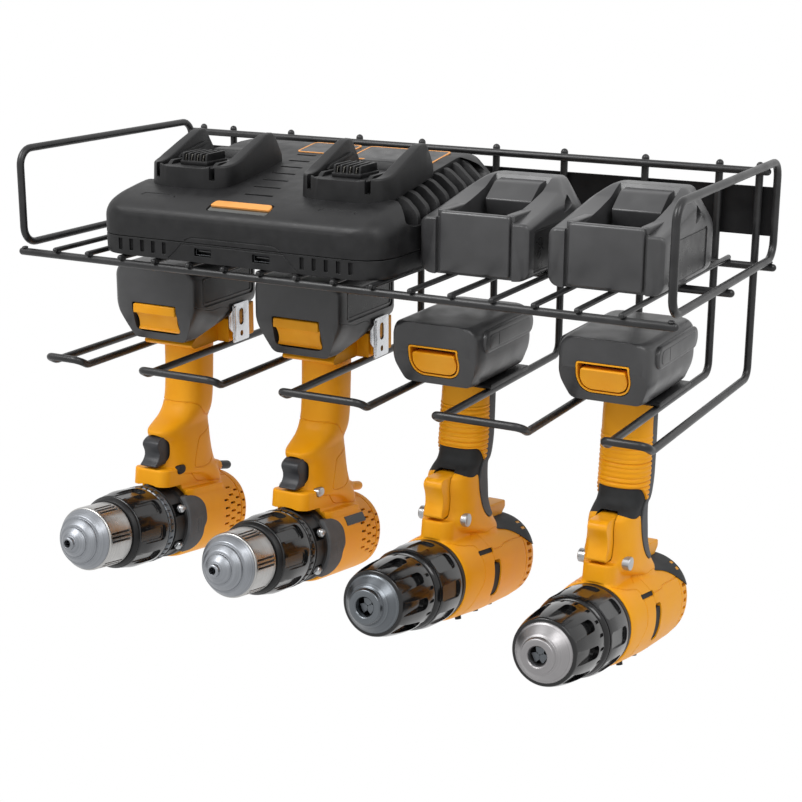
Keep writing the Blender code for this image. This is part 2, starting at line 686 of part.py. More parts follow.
def build_dock(side, x, seat):
    """One docking tower: a channel between two cheeks, on the sloping deck, with its contacts."""
    half = DOCK_WIDTH / 2
    front = -CHARGER_DEPTH / 2 + DOCK_SETBACK
    floor = deck_height(DOCK_SETBACK / CHARGER_DEPTH) + DOCK_HEIGHT
    rings = []
    for share, width, cheek in DOCK_SHARES:
        y = front + share * DOCK_LENGTH
        low = deck_height((y + CHARGER_DEPTH / 2) / CHARGER_DEPTH) + CLEARANCE
        wide = half * width
        inner = half - DOCK_CHEEK
        inner = min(inner, wide - CLEARANCE)
        high = floor + cheek * DOCK_CHEEK_RISE
        rings.append([(-wide, y, low), (-wide, y, high), (-inner, y, high), (-inner, y, floor),
                      (inner, y, floor), (inner, y, high), (wide, y, high), (wide, y, low)])
    tower = piece("dock_" + side, skin(rings), "charger_black", seat, (x, 0.0, 0.0))
    slot_x = half - DOCK_CHEEK - DOCK_SLOT / 2
    for end, middle in (("a", -slot_x), ("b", slot_x)):
        slot_low = (middle - DOCK_SLOT / 2, front - OVERRUN, floor - DOCK_HEIGHT * SLOT_SHARE)
        slot_high = (middle + DOCK_SLOT / 2, front + DOCK_LENGTH * SLOT_LENGTH_SHARE, floor + OVERRUN)
        cut(tower, "rail_slot_" + end, block(slot_low, slot_high))
    comb_y = front + DOCK_LENGTH * COMB_PLACE_SHARE
    low = floor + CLEARANCE
    base_top = low + COMB_HEIGHT * COMB_BASE_SHARE
    comb = piece("dock_contacts_" + side, block((-COMB_WIDTH / 2, comb_y, low),
                                                (COMB_WIDTH / 2, comb_y + COMB_LENGTH, base_top)),
                 "black_plastic", seat, (x, 0.0, 0.0))
    spacing = (COMB_WIDTH - COMB_BLADE * 2) / (COMB_BLADE_COUNT - 1)
    for k in range(COMB_BLADE_COUNT):
        blade_x = spacing * (k - (COMB_BLADE_COUNT - 1) / 2)
        blade = block((blade_x - COMB_BLADE / 2, comb_y + COMB_BLADE, low + COMB_BLADE / 2),
                      (blade_x + COMB_BLADE / 2, comb_y + COMB_LENGTH - COMB_BLADE, low + COMB_HEIGHT))
        weld(comb, "blade_%d" % k, blade)


def pack_kind(kind):
    """Sizes of a spare, a large or a slim pack."""
    if kind in ("spare", "heavy"):
        case = (SPARE_PACK_LENGTH, SPARE_PACK_WIDTH, SPARE_PACK_HEIGHT)
        if kind == "heavy":
            case = (LARGE_PACK_LENGTH, LARGE_PACK_WIDTH, LARGE_PACK_HEIGHT)
        return SimpleNamespace(length=case[0], width=case[1], height=case[2],
                               rail=LARGE_RAIL_WIDTH, floor=LARGE_RAIL_FLOOR, shares=LARGE_PACK_SHARES,
                               hump=LARGE_HUMP_SHARES, latch_height=LARGE_LATCH_HEIGHT,
                               latch_middle=LARGE_LATCH_SHARE, lift=LARGE_FOOT_LIFT)
    return SimpleNamespace(length=SLIM_PACK_LENGTH, width=SLIM_PACK_WIDTH, height=SLIM_PACK_HEIGHT,
                           rail=SLIM_RAIL_WIDTH, floor=SLIM_RAIL_FLOOR, shares=SLIM_PACK_SHARES,
                           hump=SLIM_HUMP_SHARES, latch_height=SLIM_LATCH_HEIGHT,
                           latch_middle=SLIM_LATCH_SHARE, lift=SLIM_FOOT_LIFT)


def build_pack(name, kind, seat):
    """A battery pack, upright on its seat: a case with rails on top, and a latch at its +Y end."""
    size = pack_kind(kind)
    end = size.length / 2
    rings = []
    for share, half, shoulder, top_half, top in size.shares:
        y = -end + share * size.length
        wide = half * size.width / 2
        narrow = top_half * size.width / 2
        foot = size.height * PACK_FOOT_SHARE
        rings.append([(foot - wide, y, 0.0), (-wide, y, foot), (-wide, y, shoulder * size.height),
                      (-narrow, y, top * size.height), (narrow, y, top * size.height),
                      (wide, y, shoulder * size.height), (wide, y, foot), (wide - foot, y, 0.0)])
    case = piece(name, skin(rings), "pack_grey", seat)
    low_hump, high_hump = size.hump
    over = size.height + OVERRUN
    outline = [(-end - OVERRUN, size.floor), (-end + low_hump * size.length, size.floor),
               (-end + high_hump * size.length, over), (-end - OVERRUN, over)]
    neck = size.rail / 2 - RAIL_LIP
    cut(case, "rail_bed", prism(outline, -neck, neck))
    stop = -end + low_hump * size.length
    cut(case, "rail_groove", block((-size.rail / 2, -end - OVERRUN * 2, size.floor - RAIL_STEP),
                                   (size.rail / 2, stop - RAIL_STEP, size.floor + RAIL_SLOT)))
    cut(case, "terminal_slot", block((-TERMINAL_SLOT_WIDTH / 2, -end + TERMINAL_SHARE * size.length,
                                      size.floor - TERMINAL_SLOT_DEPTH),
                                     (TERMINAL_SLOT_WIDTH / 2, stop - RAIL_STEP * 2, size.floor + OVERRUN)))
    middle = size.latch_middle * size.height
    half_high = size.latch_height / 2
    pocket = LATCH_THICKNESS + LATCH_TRAVEL + SLIDE_CLEARANCE
    cut(case, "latch_pocket", block((-LATCH_WIDTH / 2 - SLIDE_CLEARANCE, end - pocket,
                                     middle - half_high - SLIDE_CLEARANCE),
                                    (LATCH_WIDTH / 2 + SLIDE_CLEARANCE, end + OVERRUN,
                                     middle + half_high + SLIDE_CLEARANCE)))
    latch = block((-LATCH_WIDTH / 2, end - LATCH_THICKNESS, middle - half_high),
                  (LATCH_WIDTH / 2, end + LATCH_PROUD, middle + half_high), LATCH_EDGE)
    piece(name + "_latch", latch, "yellow_plastic", seat)


def build_spare_packs():
    """Two spare packs standing on the shelf, rails up and plain end to the front."""
    for number, x in enumerate((FIRST_PACK_X, SECOND_PACK_X), start=1):
        y = -SPARE_PACK_REAR_GAP - SPARE_PACK_LENGTH / 2
        seat = empty("spare_pack_%d_seat" % number, (x, y, SHELF_TOP + CLEARANCE))
        build_pack("spare_pack_%d" % number, "spare", seat)


def drill_kind(kind):
    """Sizes of a heavy or a compact drill."""
    if kind == "heavy":
        return SimpleNamespace(tall=HEAVY_HEIGHT, trigger_top=HEAVY_TRIGGER_TOP_SHARE,
                               grip_width=HEAVY_GRIP_WIDTH, grip_depth=HEAVY_GRIP_DEPTH, nose=HEAVY_NOSE,
                               chuck_length=HEAVY_CHUCK_LENGTH, chuck_radius=HEAVY_CHUCK_RADIUS,
                               ring_length=HEAVY_RING_LENGTH, ring_radius=HEAVY_RING_RADIUS,
                               flange=HEAVY_FLANGE_LENGTH, barrel=HEAVY_BARREL_RADIUS,
                               motor=HEAVY_MOTOR_RADIUS, rear=HEAVY_REAR, cap=HEAVY_CAP_LENGTH,
                               tongue=HEAVY_TONGUE_REACH, ahead=HEAVY_PACK_AHEAD,
                               grip=HEAVY_GRIP_SHARES, chuck=HEAVY_CHUCK_SHARES, ring=HEAVY_RING_SHARES,
                               shell=HEAVY_SHELL_SHARES, end=HEAVY_CAP_SHARES,
                               cap_finish="yellow_plastic", chuck_finish="bright_steel",
                               trigger_finish="trigger_grey")
    return SimpleNamespace(tall=COMPACT_HEIGHT, trigger_top=COMPACT_TRIGGER_TOP_SHARE,
                           grip_width=COMPACT_GRIP_WIDTH, grip_depth=COMPACT_GRIP_DEPTH, nose=COMPACT_NOSE,
                           chuck_length=COMPACT_CHUCK_LENGTH, chuck_radius=COMPACT_CHUCK_RADIUS,
                           ring_length=COMPACT_RING_LENGTH, ring_radius=COMPACT_RING_RADIUS,
                           flange=COMPACT_FLANGE_LENGTH, barrel=COMPACT_BARREL_RADIUS,
                           motor=COMPACT_MOTOR_RADIUS, rear=COMPACT_REAR, cap=COMPACT_CAP_LENGTH,
                           tongue=COMPACT_TONGUE_REACH, ahead=COMPACT_PACK_AHEAD,
                           grip=COMPACT_GRIP_SHARES, chuck=COMPACT_CHUCK_SHARES, ring=COMPACT_RING_SHARES,
                           shell=COMPACT_SHELL_SHARES, end=COMPACT_CAP_SHARES,
                           cap_finish="trigger_grey", chuck_finish="dark_metal",
                           trigger_finish="yellow_plastic")


def below_seat(share, size, drop):
    """Depth below the seat of a share of the drill's height, counted so that only the neck stretches."""
    return drop - (1 - share) * size.tall


def grip_rings(size, drop, face):
    """Level sections of the grip, from inside the foot plate down into the barrel."""
    rings = []
    for share, front, back, width in size.grip:
        down = share * drop if share < NECK_END_SHARE else below_seat(share, size, drop)
        z = -down if share > 0.0 else FOOT_PLATE * GRIP_ROOT_SHARE
        lean = GRIP_LEAN_SHARE * down
        fore = front * size.grip_depth + lean
        aft = back * size.grip_depth + lean
        if down > drop - size.ring_radius - TONGUE_HEIGHT:
            fore = min(fore, BARREL_AHEAD + face - (drop - down) * math.tan(BARREL_TILT) - OVERRUN)
        middle = (fore + aft) / 2
        deep = (fore - aft) / 2
        wide = width * size.grip_width / 2
        ring = []
        for k in range(GRIP_SIDES):
            angle = 2 * math.pi * (k + 1 / 2) / GRIP_SIDES
            u = math.copysign(abs(math.cos(angle)) ** GRIP_SQUARENESS, math.cos(angle))
            v = math.copysign(abs(math.sin(angle)) ** GRIP_SQUARENESS, math.sin(angle))
            ring.append((u * wide, -(middle + v * deep), z))
        rings.append(ring)
    return rings


def build_foot(housing, size, pack):
    """The foot plate that rests on two arms, with the rail block that the pack slides onto."""
    front = -size.ahead
    pack_top = pack.height + pack.lift
    low_hump, high_hump = pack.hump
    nose = front + (1 - high_hump) * pack.length + SLIDE_CLEARANCE
    knee = front + (1 - low_hump) * pack.length + SLIDE_CLEARANCE
    rear = front + pack.length
    half = TOOL_GAP / 2 + WIRE * FOOT_OVERHANG_SHARE
    wall = pack.shares[1][4] * pack.height
    ridge = pack.shares[2][4] * pack.height
    rear_top = max(pack.lift, pack_top - wall) - 2 * SLIDE_CLEARANCE
    knee_top = max(pack.lift, pack_top - ridge) - 2 * SLIDE_CLEARANCE
    nose_top = pack.lift - 2 * SLIDE_CLEARANCE
    plate = [(nose, CLEARANCE + FOOT_EDGE), (nose + FOOT_EDGE, CLEARANCE), (rear, CLEARANCE),
             (rear, rear_top), (knee + FOOT_EDGE, knee_top), (nose + FOOT_EDGE, nose_top)]
    if FOOT_EDGE + CLEARANCE > nose_top:
        plate[0] = (nose + FOOT_EDGE / 2, (CLEARANCE + pack.lift) / 2)
    weld(housing, "foot_plate", prism(plate, -half, half))
    neck_top = pack_top - pack.floor - RAIL_SLOT
    block_top = pack_top - pack.floor - SLIDE_CLEARANCE
    neck = pack.rail / 2 - RAIL_LIP - SLIDE_CLEARANCE
    ramp = (knee - nose) / (pack_top - pack.floor - pack.lift + SLIDE_CLEARANCE)
    start = knee + FOOT_EDGE
    weld(housing, "rail_neck", block((-neck, start, CLEARANCE + FOOT_PLATE / 2), (neck, rear, block_top)))
    wing = pack.rail / 2 - SLIDE_CLEARANCE
    wing_low = (-wing, start + abs(ramp) * SLIDE_CLEARANCE, neck_top + SLIDE_CLEARANCE)
    weld(housing, "rail_wings", block(wing_low, (wing, rear, block_top)))


def build_drill(name, kind, pitches, grip_share, drop_share):
    """One drill, hanging upside down by its foot, with its pack on top and its chuck forward."""
    size = drill_kind(kind)
    pack = pack_kind(kind)
    drop = drop_share * size.tall
    seat = empty(name + "_seat", (pitches * TOOL_PITCH, -grip_share * LOOP_REACH, SEAT_Z))
    barrel = empty(name + "_barrel", (0.0, -BARREL_AHEAD, -drop), seat, (-BARREL_TILT, 0.0, 0.0))
    chuck_rear = size.nose - size.chuck_length
    ring_rear = chuck_rear - size.ring_length
    face = ring_rear - size.flange
    housing = piece(name + "_housing", skin(grip_rings(size, drop, face)), "yellow_plastic", seat)
    build_foot(housing, size, pack)
    shell_rear = -size.rear + size.cap
    shell = weld(housing, "barrel", turned(along(size.shell, face, shell_rear - face, size.barrel)))
    shell.parent = barrel
    tongue_low = size.ring_radius + TONGUE_CLEARANCE
    tongue = weld(housing, "tongue", block((-TONGUE_WIDTH / 2, -size.tongue, tongue_low),
                                           (TONGUE_WIDTH / 2, size.motor / 2, tongue_low + TONGUE_HEIGHT),
                                           TONGUE_EDGE))
    tongue.parent = barrel
    if kind == "heavy":
        build_horn(housing, size, drop)
    else:
        lug_top = size.barrel + LUG_HEIGHT
        lug_half = LUG_WIDTH / 2
        lug_rows = (
            # name, start, end, bottom, top, half width
            ("root", 0.0, size.rear - size.cap - OVERRUN, size.barrel - LUG_DEPTH, lug_top, lug_half),
            ("tail", OVERRUN, size.rear, size.barrel + CLEARANCE, lug_top - CLEARANCE, lug_half - CLEARANCE),
        )
        for part, start, end, low, top, half in lug_rows:
            lug = weld(housing, "lug_" + part, block((-half, start, low), (half, end, top)))
            lug.parent = barrel
    bore = size.motor + SLIDE_CLEARANCE
    hole = cut(housing, "motor_bore", turned([(face + OVERRUN, bore), (-size.rear - OVERRUN, bore)]))
    hole.parent = barrel
    build_drive(name, size, barrel, chuck_rear, ring_rear, face)
    build_trigger(name, size, drop, housing)
    build_button(name, size, drop, housing)
    ring_span = size.ring_length - 2 * CLEARANCE
    ring_stations = along(size.ring, ring_rear + CLEARANCE, ring_span, size.ring_radius)
    ring = turned_ring(ring_stations, RING_BORE + SLIDE_CLEARANCE)
    piece(name + "_clutch_ring", ring, "collar_black", barrel)
    chuck_span = size.chuck_length - CLEARANCE
    chuck_stations = along(size.chuck, chuck_rear + CLEARANCE, chuck_span, size.chuck_radius)
    chuck = piece(name + "_chuck", turned(chuck_stations), size.chuck_finish, barrel)
    bit_radius = SPINDLE_RADIUS * BIT_HOLE_SHARE
    bit_stations = [(size.nose + OVERRUN, bit_radius), (size.nose - CHUCK_BORE_DEPTH, bit_radius)]
    bit_hole = cut(chuck, "bit_hole", turned(bit_stations))
    bit_hole.parent = barrel
    cap_length = size.cap - CLEARANCE
    cap_stations = along(size.end, shell_rear - CLEARANCE, -cap_length, size.barrel)
    cap = piece(name + "_rear_cap", turned(cap_stations), size.cap_finish, barrel)
    spigot = weld(cap, "spigot", turned([(shell_rear + SPIGOT_LENGTH, size.motor - CLEARANCE),
                                         (shell_rear - cap_length / 2, size.motor - CLEARANCE)]))
    spigot.parent = barrel
    pack_place = (0.0, -size.ahead + pack.length / 2, pack.height + pack.lift)
    pack_seat = empty(name + "_pack_seat", pack_place, seat, (math.pi, 0.0, 0.0))
    build_pack(name + "_pack", kind, pack_seat)
    if kind == "heavy":
        build_clip(name, housing, size, pack, seat)


def build_horn(housing, size, drop):
    """The tapering peg behind the grip."""
    root_y = HORN_ROOT_SHARE * size.grip_depth
    tip_y = size.rear - BARREL_AHEAD + HORN_REACH
    root_z = -below_seat(HORN_DROP_SHARES[0], size, drop)
    tip_z = -below_seat(HORN_DROP_SHARES[1], size, drop)
    rings = []
    for share, swell in HORN_SHARES:
        y = root_y + share * (tip_y - root_y)
        z = root_z + share * (tip_z - root_z)
        rings.append([(u, y, z + v) for u, v in circle(HORN_RADIUS * swell, GRIP_SIDES)])
    weld(housing, "horn", skin(rings))


def build_drive(name, size, barrel, chuck_rear, ring_rear, face):
    """Motor, gearbox and spindle as one turned unit in the housing's bore."""
    back = -size.rear + size.cap + SPIGOT_LENGTH + CLEARANCE
    stations = [(back, size.motor), (face + CLEARANCE, size.motor), (face + CLEARANCE, size.ring_radius),
                (ring_rear, size.ring_radius), (ring_rear, RING_BORE),
                (chuck_rear - SPINDLE_NECK, RING_BORE), (chuck_rear - SPINDLE_NECK, SPINDLE_RADIUS),
                (chuck_rear, SPINDLE_RADIUS)]
    piece(name + "_drive", turned(stations), "black_plastic", barrel)


def build_trigger(name, size, drop, housing):
    """The trigger, which slides back into a pocket in the grip."""
    front = TRIGGER_FRONT_SHARE * size.grip_depth
    back = front - TRIGGER_LENGTH
    top = -below_seat(size.trigger_top, size, drop)
    high = TRIGGER_HEIGHT_SHARE * size.tall
    half = TRIGGER_WIDTH / 2
    rings = []
    for x_share, draw in TRIGGER_SIDE_SHARES:
        x = x_share * half
        span = draw * TRIGGER_LENGTH
        ring = [(x, -back, top), (x, -back, top - high)]
        ring += [(x, -back - reach * span, top - down * high)
                 for down, reach in TRIGGER_FACE_SHARES]
        rings.append(ring)
    piece(name + "_trigger", skin(rings), size.trigger_finish, housing.parent)
    inner = back - TRIGGER_TRAVEL - SLIDE_CLEARANCE
    side = half + SLIDE_CLEARANCE
    pocket_low = (-side, -front - TRIGGER_LENGTH, top - high - SLIDE_CLEARANCE)
    cut(housing, "trigger_pocket", block(pocket_low, (side, -inner, top + SLIDE_CLEARANCE)))


def build_button(name, size, drop, housing):
    """The direction button, a flat bar pushed across through the grip."""
    half = size.grip_width * BUTTON_SPAN_SHARE / 2 + BUTTON_TRAVEL + BUTTON_LEDGE
    middle_y = -(BUTTON_AHEAD_SHARE * size.grip_depth + GRIP_LEAN_SHARE * drop)
    middle_z = -below_seat(BUTTON_DROP_SHARE, size, drop)
    for grow, label in ((0.0, "bar"), (SLIDE_CLEARANCE, "hole")):
        reach = half + (OVERRUN * 2 if label == "hole" else 0.0)
        long = BUTTON_LENGTH / 2 + grow
        high = BUTTON_HEIGHT / 2 + grow
        rings = [[(x, middle_y + u * long, middle_z + v * high) for u, v in circle(1.0, GRIP_SIDES)]
                 for x in (-reach, reach)]
        if label == "bar":
            piece(name + "_direction_button", skin(rings), "trigger_grey", housing.parent)
        else:
            cut(housing, "button_hole", skin(rings))


def build_clip(name, housing, size, pack, seat):
    """The steel belt clip, screwed to a boss on the right of the foot."""
    inner = TOOL_GAP / 2 + WIRE * FOOT_OVERHANG_SHARE
    outer = pack.width / 2 + SLIDE_CLEARANCE
    y = -size.ahead + pack.length * CLIP_PLACE_SHARE
    boss_high = CLIP_BOSS_SHARE * CLIP_HEIGHT
    middle = y + CLIP_LENGTH / 2
    boss_half = CLIP_BOSS_SHARE * CLIP_LENGTH / 2
    boss_low = (inner - OVERRUN, middle - boss_half, CLEARANCE + OVERRUN / 2)
    weld(housing, "clip_boss", block(boss_low, (outer, middle + boss_half, boss_high)))
    near = outer + CLEARANCE
    far = near + CLIP_THICKNESS
    plate = block((near, y, CLEARANCE), (far, y + CLIP_LENGTH, CLEARANCE + CLIP_HEIGHT))
    clip = piece(name + "_belt_clip", plate, "bright_steel", seat)
    slot_low = boss_high + CLIP_SLOT_WIDTH / 2
    half = CLIP_SLOT_WIDTH / 2
    cut(clip, "slot", block((near - OVERRUN, middle - half, slot_low),
                            (far + OVERRUN, middle + half, slot_low + CLIP_SLOT_LENGTH)))


def main():
    """Build the whole rack with everything that it carries."""
    clear_scene()
    build_shelf()
    build_plate()
    build_rails()
    build_loops()
    build_charger()
    build_spare_packs()
    for row in TOOL_ROW_SHARES:
        build_drill(*row)


main()
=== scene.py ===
import math

import bmesh
import bpy
from bpy.props import FloatProperty, FloatVectorProperty, PointerProperty
from mathutils import Matrix, Vector
from mathutils.bvhtree import BVHTree


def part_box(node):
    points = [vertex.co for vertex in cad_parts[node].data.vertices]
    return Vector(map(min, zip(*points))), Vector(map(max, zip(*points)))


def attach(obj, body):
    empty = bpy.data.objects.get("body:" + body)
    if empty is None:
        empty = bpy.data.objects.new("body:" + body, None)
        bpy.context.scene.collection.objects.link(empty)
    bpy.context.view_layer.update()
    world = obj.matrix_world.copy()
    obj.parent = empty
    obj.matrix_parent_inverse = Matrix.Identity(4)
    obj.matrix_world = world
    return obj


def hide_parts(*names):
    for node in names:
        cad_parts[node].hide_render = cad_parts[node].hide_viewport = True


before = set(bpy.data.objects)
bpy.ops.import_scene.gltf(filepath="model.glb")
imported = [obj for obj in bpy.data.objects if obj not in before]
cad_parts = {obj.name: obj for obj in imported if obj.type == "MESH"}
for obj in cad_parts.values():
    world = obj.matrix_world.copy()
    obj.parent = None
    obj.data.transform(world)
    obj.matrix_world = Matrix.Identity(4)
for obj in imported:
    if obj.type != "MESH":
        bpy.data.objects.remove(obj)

bl_info = {
    "name": "Cordless Drill Charging Rack",
    "version": (1, 0, 0),
    "blender": (4, 5, 0),
    "location": "View3D > Sidebar > Drill Rack",
    "description": "Builds the finished look of a wall rack with four drills, packs and a twin charger",
    "category": "Object",
}

# Shapes are drawn in millimetres and scaled once, when a piece is put in its place.
MM = 0.001
SHARP = math.radians(32)
BARREL_TILT = math.radians(8.5)
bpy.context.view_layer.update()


def hex_colour(code):
    """An sRGB hex value as linear red, green, blue and alpha."""
    values = [int(code[k:k + 2], 16) / 255 for k in (1, 3, 5)]
    return (*[v / 12.92 if v <= 0.04045 else ((v + 0.055) / 1.055) ** 2.4 for v in values], 1)


# Shapes

def corners(rows):
    """Rows of numbers, as they are or from text with a comma between the rows."""
    if isinstance(rows, str):
        return [tuple(float(v) for v in row.split()) for row in rows.split(",")]
    return list(rows)


def between(rows, steps):
    """Rows filled in between the given ones, on a curve that never swings past them."""
    spans = [after[0] - before[0] for before, after in zip(rows, rows[1:])]
    rises = [[(v - u) / span for u, v in zip(low, high)] for low, high, span in zip(rows, rows[1:], spans)]
    slopes = [rises[0]]
    for before, after in zip(rises, rises[1:]):
        slopes.append([2 * a * b / (a + b) if a * b > 0 else 0 for a, b in zip(before, after)])
    slopes.append(rises[-1])
    filled = []
    for index, span in enumerate(spans):
        for step in range(steps):
            t = step / steps
            parts = (2 * t ** 3 - 3 * t ** 2 + 1, (t ** 3 - 2 * t ** 2 + t) * span,
                     3 * t ** 2 - 2 * t ** 3, (t ** 3 - t ** 2) * span)
            quads = zip(rows[index], slopes[index], rows[index + 1], slopes[index + 1])
            filled.append([sum(p * q for p, q in zip(parts, quad)) for quad in quads])
    return filled + [list(rows[-1])]


def rounded(path, steps=4, closed=True):
    """A path through corners whose last number is how far the rounding reaches back from each."""
    points = []
    count = len(path)
    for index, corner in enumerate(path):
        here = Vector(corner[:-1])
        if corner[-1] <= 0 or (not closed and index in (0, count - 1)):
            points.append(here)
            continue
        into = Vector(path[index - 1][:-1]) - here
        out = Vector(path[(index + 1) % count][:-1]) - here
        reach = min(corner[-1], into.length * 0.49, out.length * 0.49)
        start = here + into.normalized() * reach
        end = here + out.normalized() * reach
        near, far = start.lerp(here, 0.552), end.lerp(here, 0.552)
        for t in [step / steps for step in range(steps + 1)]:
            points.append(start * (1 - t) ** 3 + near * 3 * t * (1 - t) ** 2 + far * 3 * t * t * (1 - t)
                          + end * t ** 3)
    return points


def both_sides(half):
    """A left-right symmetrical outline from its right half."""
    half = corners(half)
    return half + [(-u, v, r) for u, v, r in reversed(half)]


def box_outline(low_u, high_u, low_v, high_v, radius):
    """A rounded rectangle."""
    return [(low_u, low_v, radius), (high_u, low_v, radius), (high_u, high_v, radius),
            (low_u, high_v, radius)]


def skin(rings, closed=False):
    """One closed body through rings of points."""
    bm = bmesh.new()
    rows = [[bm.verts.new(point) for point in ring] for ring in rings]
    pairs = list(zip(rows, rows[1:]))
    if closed:
        pairs.append((rows[-1], rows[0]))
    for low, high in pairs:
        for index in range(len(low)):
            after = (index + 1) % len(low)
            bm.faces.new((low[index], low[after], high[after], high[index]))
    if not closed:
        bm.faces.new(list(reversed(rows[0])))
        bm.faces.new(rows[-1])
    bmesh.ops.recalc_face_normals(bm, faces=bm.faces)
    return bm


def ring_of(sides, squareness=1):
    """Across and up for each point of a circle, or of a squarer ring."""
    turns = [2 * math.pi * k / sides for k in range(sides)]
    return [[math.copysign(abs(v) ** squareness, v) for v in (math.cos(a), math.sin(a))] for a in turns]


def loft(rows, steps=4, corner_steps=4):
    """A body through sections across Y: each row is y, then x, z and rounding for the right half."""
    rings = []
    for row in between(rows, steps):
        half = [tuple(row[k:k + 3]) for k in range(1, len(row), 3)]
        rings.append([(p.x, row[0], p.y) for p in rounded(both_sides(half), corner_steps)])
    return skin(rings)


def column(rows, steps=4, sides=56, ripple=None):
    """A body of level sections: rows are z, reach ahead, reach back and half width."""
    rings = []
    for z, fore, aft, half in between(rows, steps):
        middle, deep = (fore + aft) / 2, (fore - aft) / 2
        swell = ripple(z) if ripple else 0
        rings.append([(u * (half + swell), -(middle + v * (deep + swell)), z)
                      for u, v in ring_of(sides, 0.8)])
    return skin(rings)


def lathe(profile, sides=72, squareness=1, bore=0):
    """A body turned about the barrel's axis from (ahead, radius, rounding) corners, solid or with a bore."""
    profile = corners(profile)
    path = rounded([(profile[0][0], bore, 0), *profile, (profile[-1][0], bore, 0)], 3, closed=False)
    return skin([[(u * point.y, -point.x, v * point.y) for u, v in ring_of(sides, squareness)]
                 for point in path if point.y >= 1e-4])


def block(low, high, edge=0, segments=1):
    """A box between two corners with rounded edges."""
    bm = bmesh.new()
    size = Vector(high) - Vector(low)
    matrix = Matrix.Translation((Vector(high) + Vector(low)) / 2) @ Matrix.Diagonal((*size, 1))
    bmesh.ops.create_cube(bm, size=1, matrix=matrix)
    if edge > 0:
        bmesh.ops.bevel(bm, geom=list(bm.edges), offset=edge, segments=segments, profile=0.5,
                        affect='EDGES', clamp_overlap=True)
    return bm


def slab(outline, low, high, axis=0, steps=4, edge=0):
    """A flat outline with rounded corners, thickened along an axis (0 is X, 1 is Y, 2 is Z)."""
    rings = []
    for level in (low, high):
        ring = [[point.x, point.y] for point in rounded(corners(outline), steps)]
        for spot in ring:
            spot.insert(axis, level)
        rings.append(ring)
    bm = skin(rings)
    if edge > 0:
        rims = [e for e in bm.edges if any(len(f.verts) > 4 for f in e.link_faces)]
        bmesh.ops.bevel(bm, geom=rims, offset=edge, segments=3, profile=0.5, affect='EDGES',
                        clamp_overlap=True)
    return bm


def pair(outline, near, far, **more):
    """The same slab on the right and on the left."""
    return [slab(outline, near, far, **more), slab(outline, -far, -near, **more)]


def tube(path, radius, sides=16, dome=False):
    """A round rod along a path, with domed ends if asked."""
    points = [Vector(p) for p in path]
    points = [p for k, p in enumerate(points) if k == 0 or (p - points[k - 1]).length > 1e-5]
    runs = [(b - a).normalized() for a, b in zip(points, points[1:])]
    headings = [runs[0]] + [(a + b).normalized() for a, b in zip(runs, runs[1:])] + [runs[-1]]
    side = headings[0].orthogonal().normalized()
    stations = [(point, heading, radius) for point, heading in zip(points, headings)]
    if dome:
        shares = (0.98, 0.85, 0.6, 0.3)
        head = [(points[0] - runs[0] * radius * s, runs[0], radius * math.sqrt(1 - s * s)) for s in shares]
        tail = [(points[-1] + runs[-1] * radius * s, runs[-1], radius * math.sqrt(1 - s * s)) for s in shares]
        stations = head + stations + tail[::-1]
    return skin(rings_along(stations, side, sides))


def hoop(path, radius, sides=16):
    """A round rod bent into a closed ring."""
    count = len(path)
    headings = [(path[(k + 1) % count] - path[k - 1]).normalized() for k in range(count)]
    stations = [(point, heading, radius) for point, heading in zip(path, headings)]
    return skin(rings_along(stations, Vector((1, 0, 0)), sides), closed=True)


def rings_along(stations, side, sides):
    """Rings square to a path at its (point, heading, radius) stations."""
    rings = []
    for point, heading, size in stations:
        side = (side - heading * side.dot(heading)).normalized()
        up = heading.cross(side)
        rings.append([point + (side * u + up * v) * size for u, v in ring_of(sides)])
    return rings


def moved(bm, matrix):
    """The same shape after a move."""
    bm.transform(matrix)
    return bm


def turned(bm, degrees):
    """The same shape after a turn about the barrel's axis."""
    return moved(bm, Matrix.Rotation(math.radians(degrees), 4, 'Y'))


def around(shape, count, start=0):
    """Copies of a shape set round the barrel's axis."""
    shapes = [moved(shape.copy(), Matrix.Rotation(start + 2 * math.pi * k / count, 4, 'Y'))
              for k in range(count)]
    shape.free()
    return shapes


def joined(shapes):
    """Shapes put in one mesh as they are."""
    whole = bmesh.new()
    for shape in shapes:
        mesh = bpy.data.meshes.new("part")
        shape.to_mesh(mesh)
        whole.from_mesh(mesh)
        bpy.data.meshes.remove(mesh)
        shape.free()
    return whole


def linked(name, data):
    """A new object in the scene."""
    item = bpy.data.objects.new(name, data)
    bpy.context.scene.collection.objects.link(item)
    return item


def with_modifiers(bm, prepare):
    """The shape that modifiers make of a mesh."""
    mesh = bpy.data.meshes.new("work")
    bm.to_mesh(mesh)
    bm.free()
    item = linked("work", mesh)
    prepare(item)
    bpy.context.view_layer.update()
    result = bmesh.new()
    ready = item.evaluated_get(bpy.context.evaluated_depsgraph_get())
    result.from_mesh(ready.to_mesh())
    ready.to_mesh_clear()
    bpy.data.objects.remove(item, do_unlink=True)
    bpy.data.meshes.remove(mesh)
    return result


def combine(bm, tools, operation):
    """A body after a boolean with other shapes."""
    tool = joined(tools)
    mesh = bpy.data.meshes.new("tool")
    tool.to_mesh(mesh)
    tool.free()
    helper = linked("tool", mesh)

    def prepare(item):
        step = item.modifiers.new("combine", 'BOOLEAN')
        step.operation = operation
        step.solver = 'MANIFOLD'
        step.object = helper

    result = with_modifiers(bm, prepare)
    bpy.data.objects.remove(helper, do_unlink=True)
    bpy.data.meshes.remove(mesh)
    if not result.faces:
        raise RuntimeError("a cut left nothing of its shape")
    return result


def cut(bm, *tools):
    """A body with shapes cut out of it."""
    return combine(bm, tools, 'DIFFERENCE')


def weld(bm, *tools):
    """A body with shapes welded on, one after another."""
    for tool in tools:
        bm = combine(bm, [tool], 'UNION')
    return bm


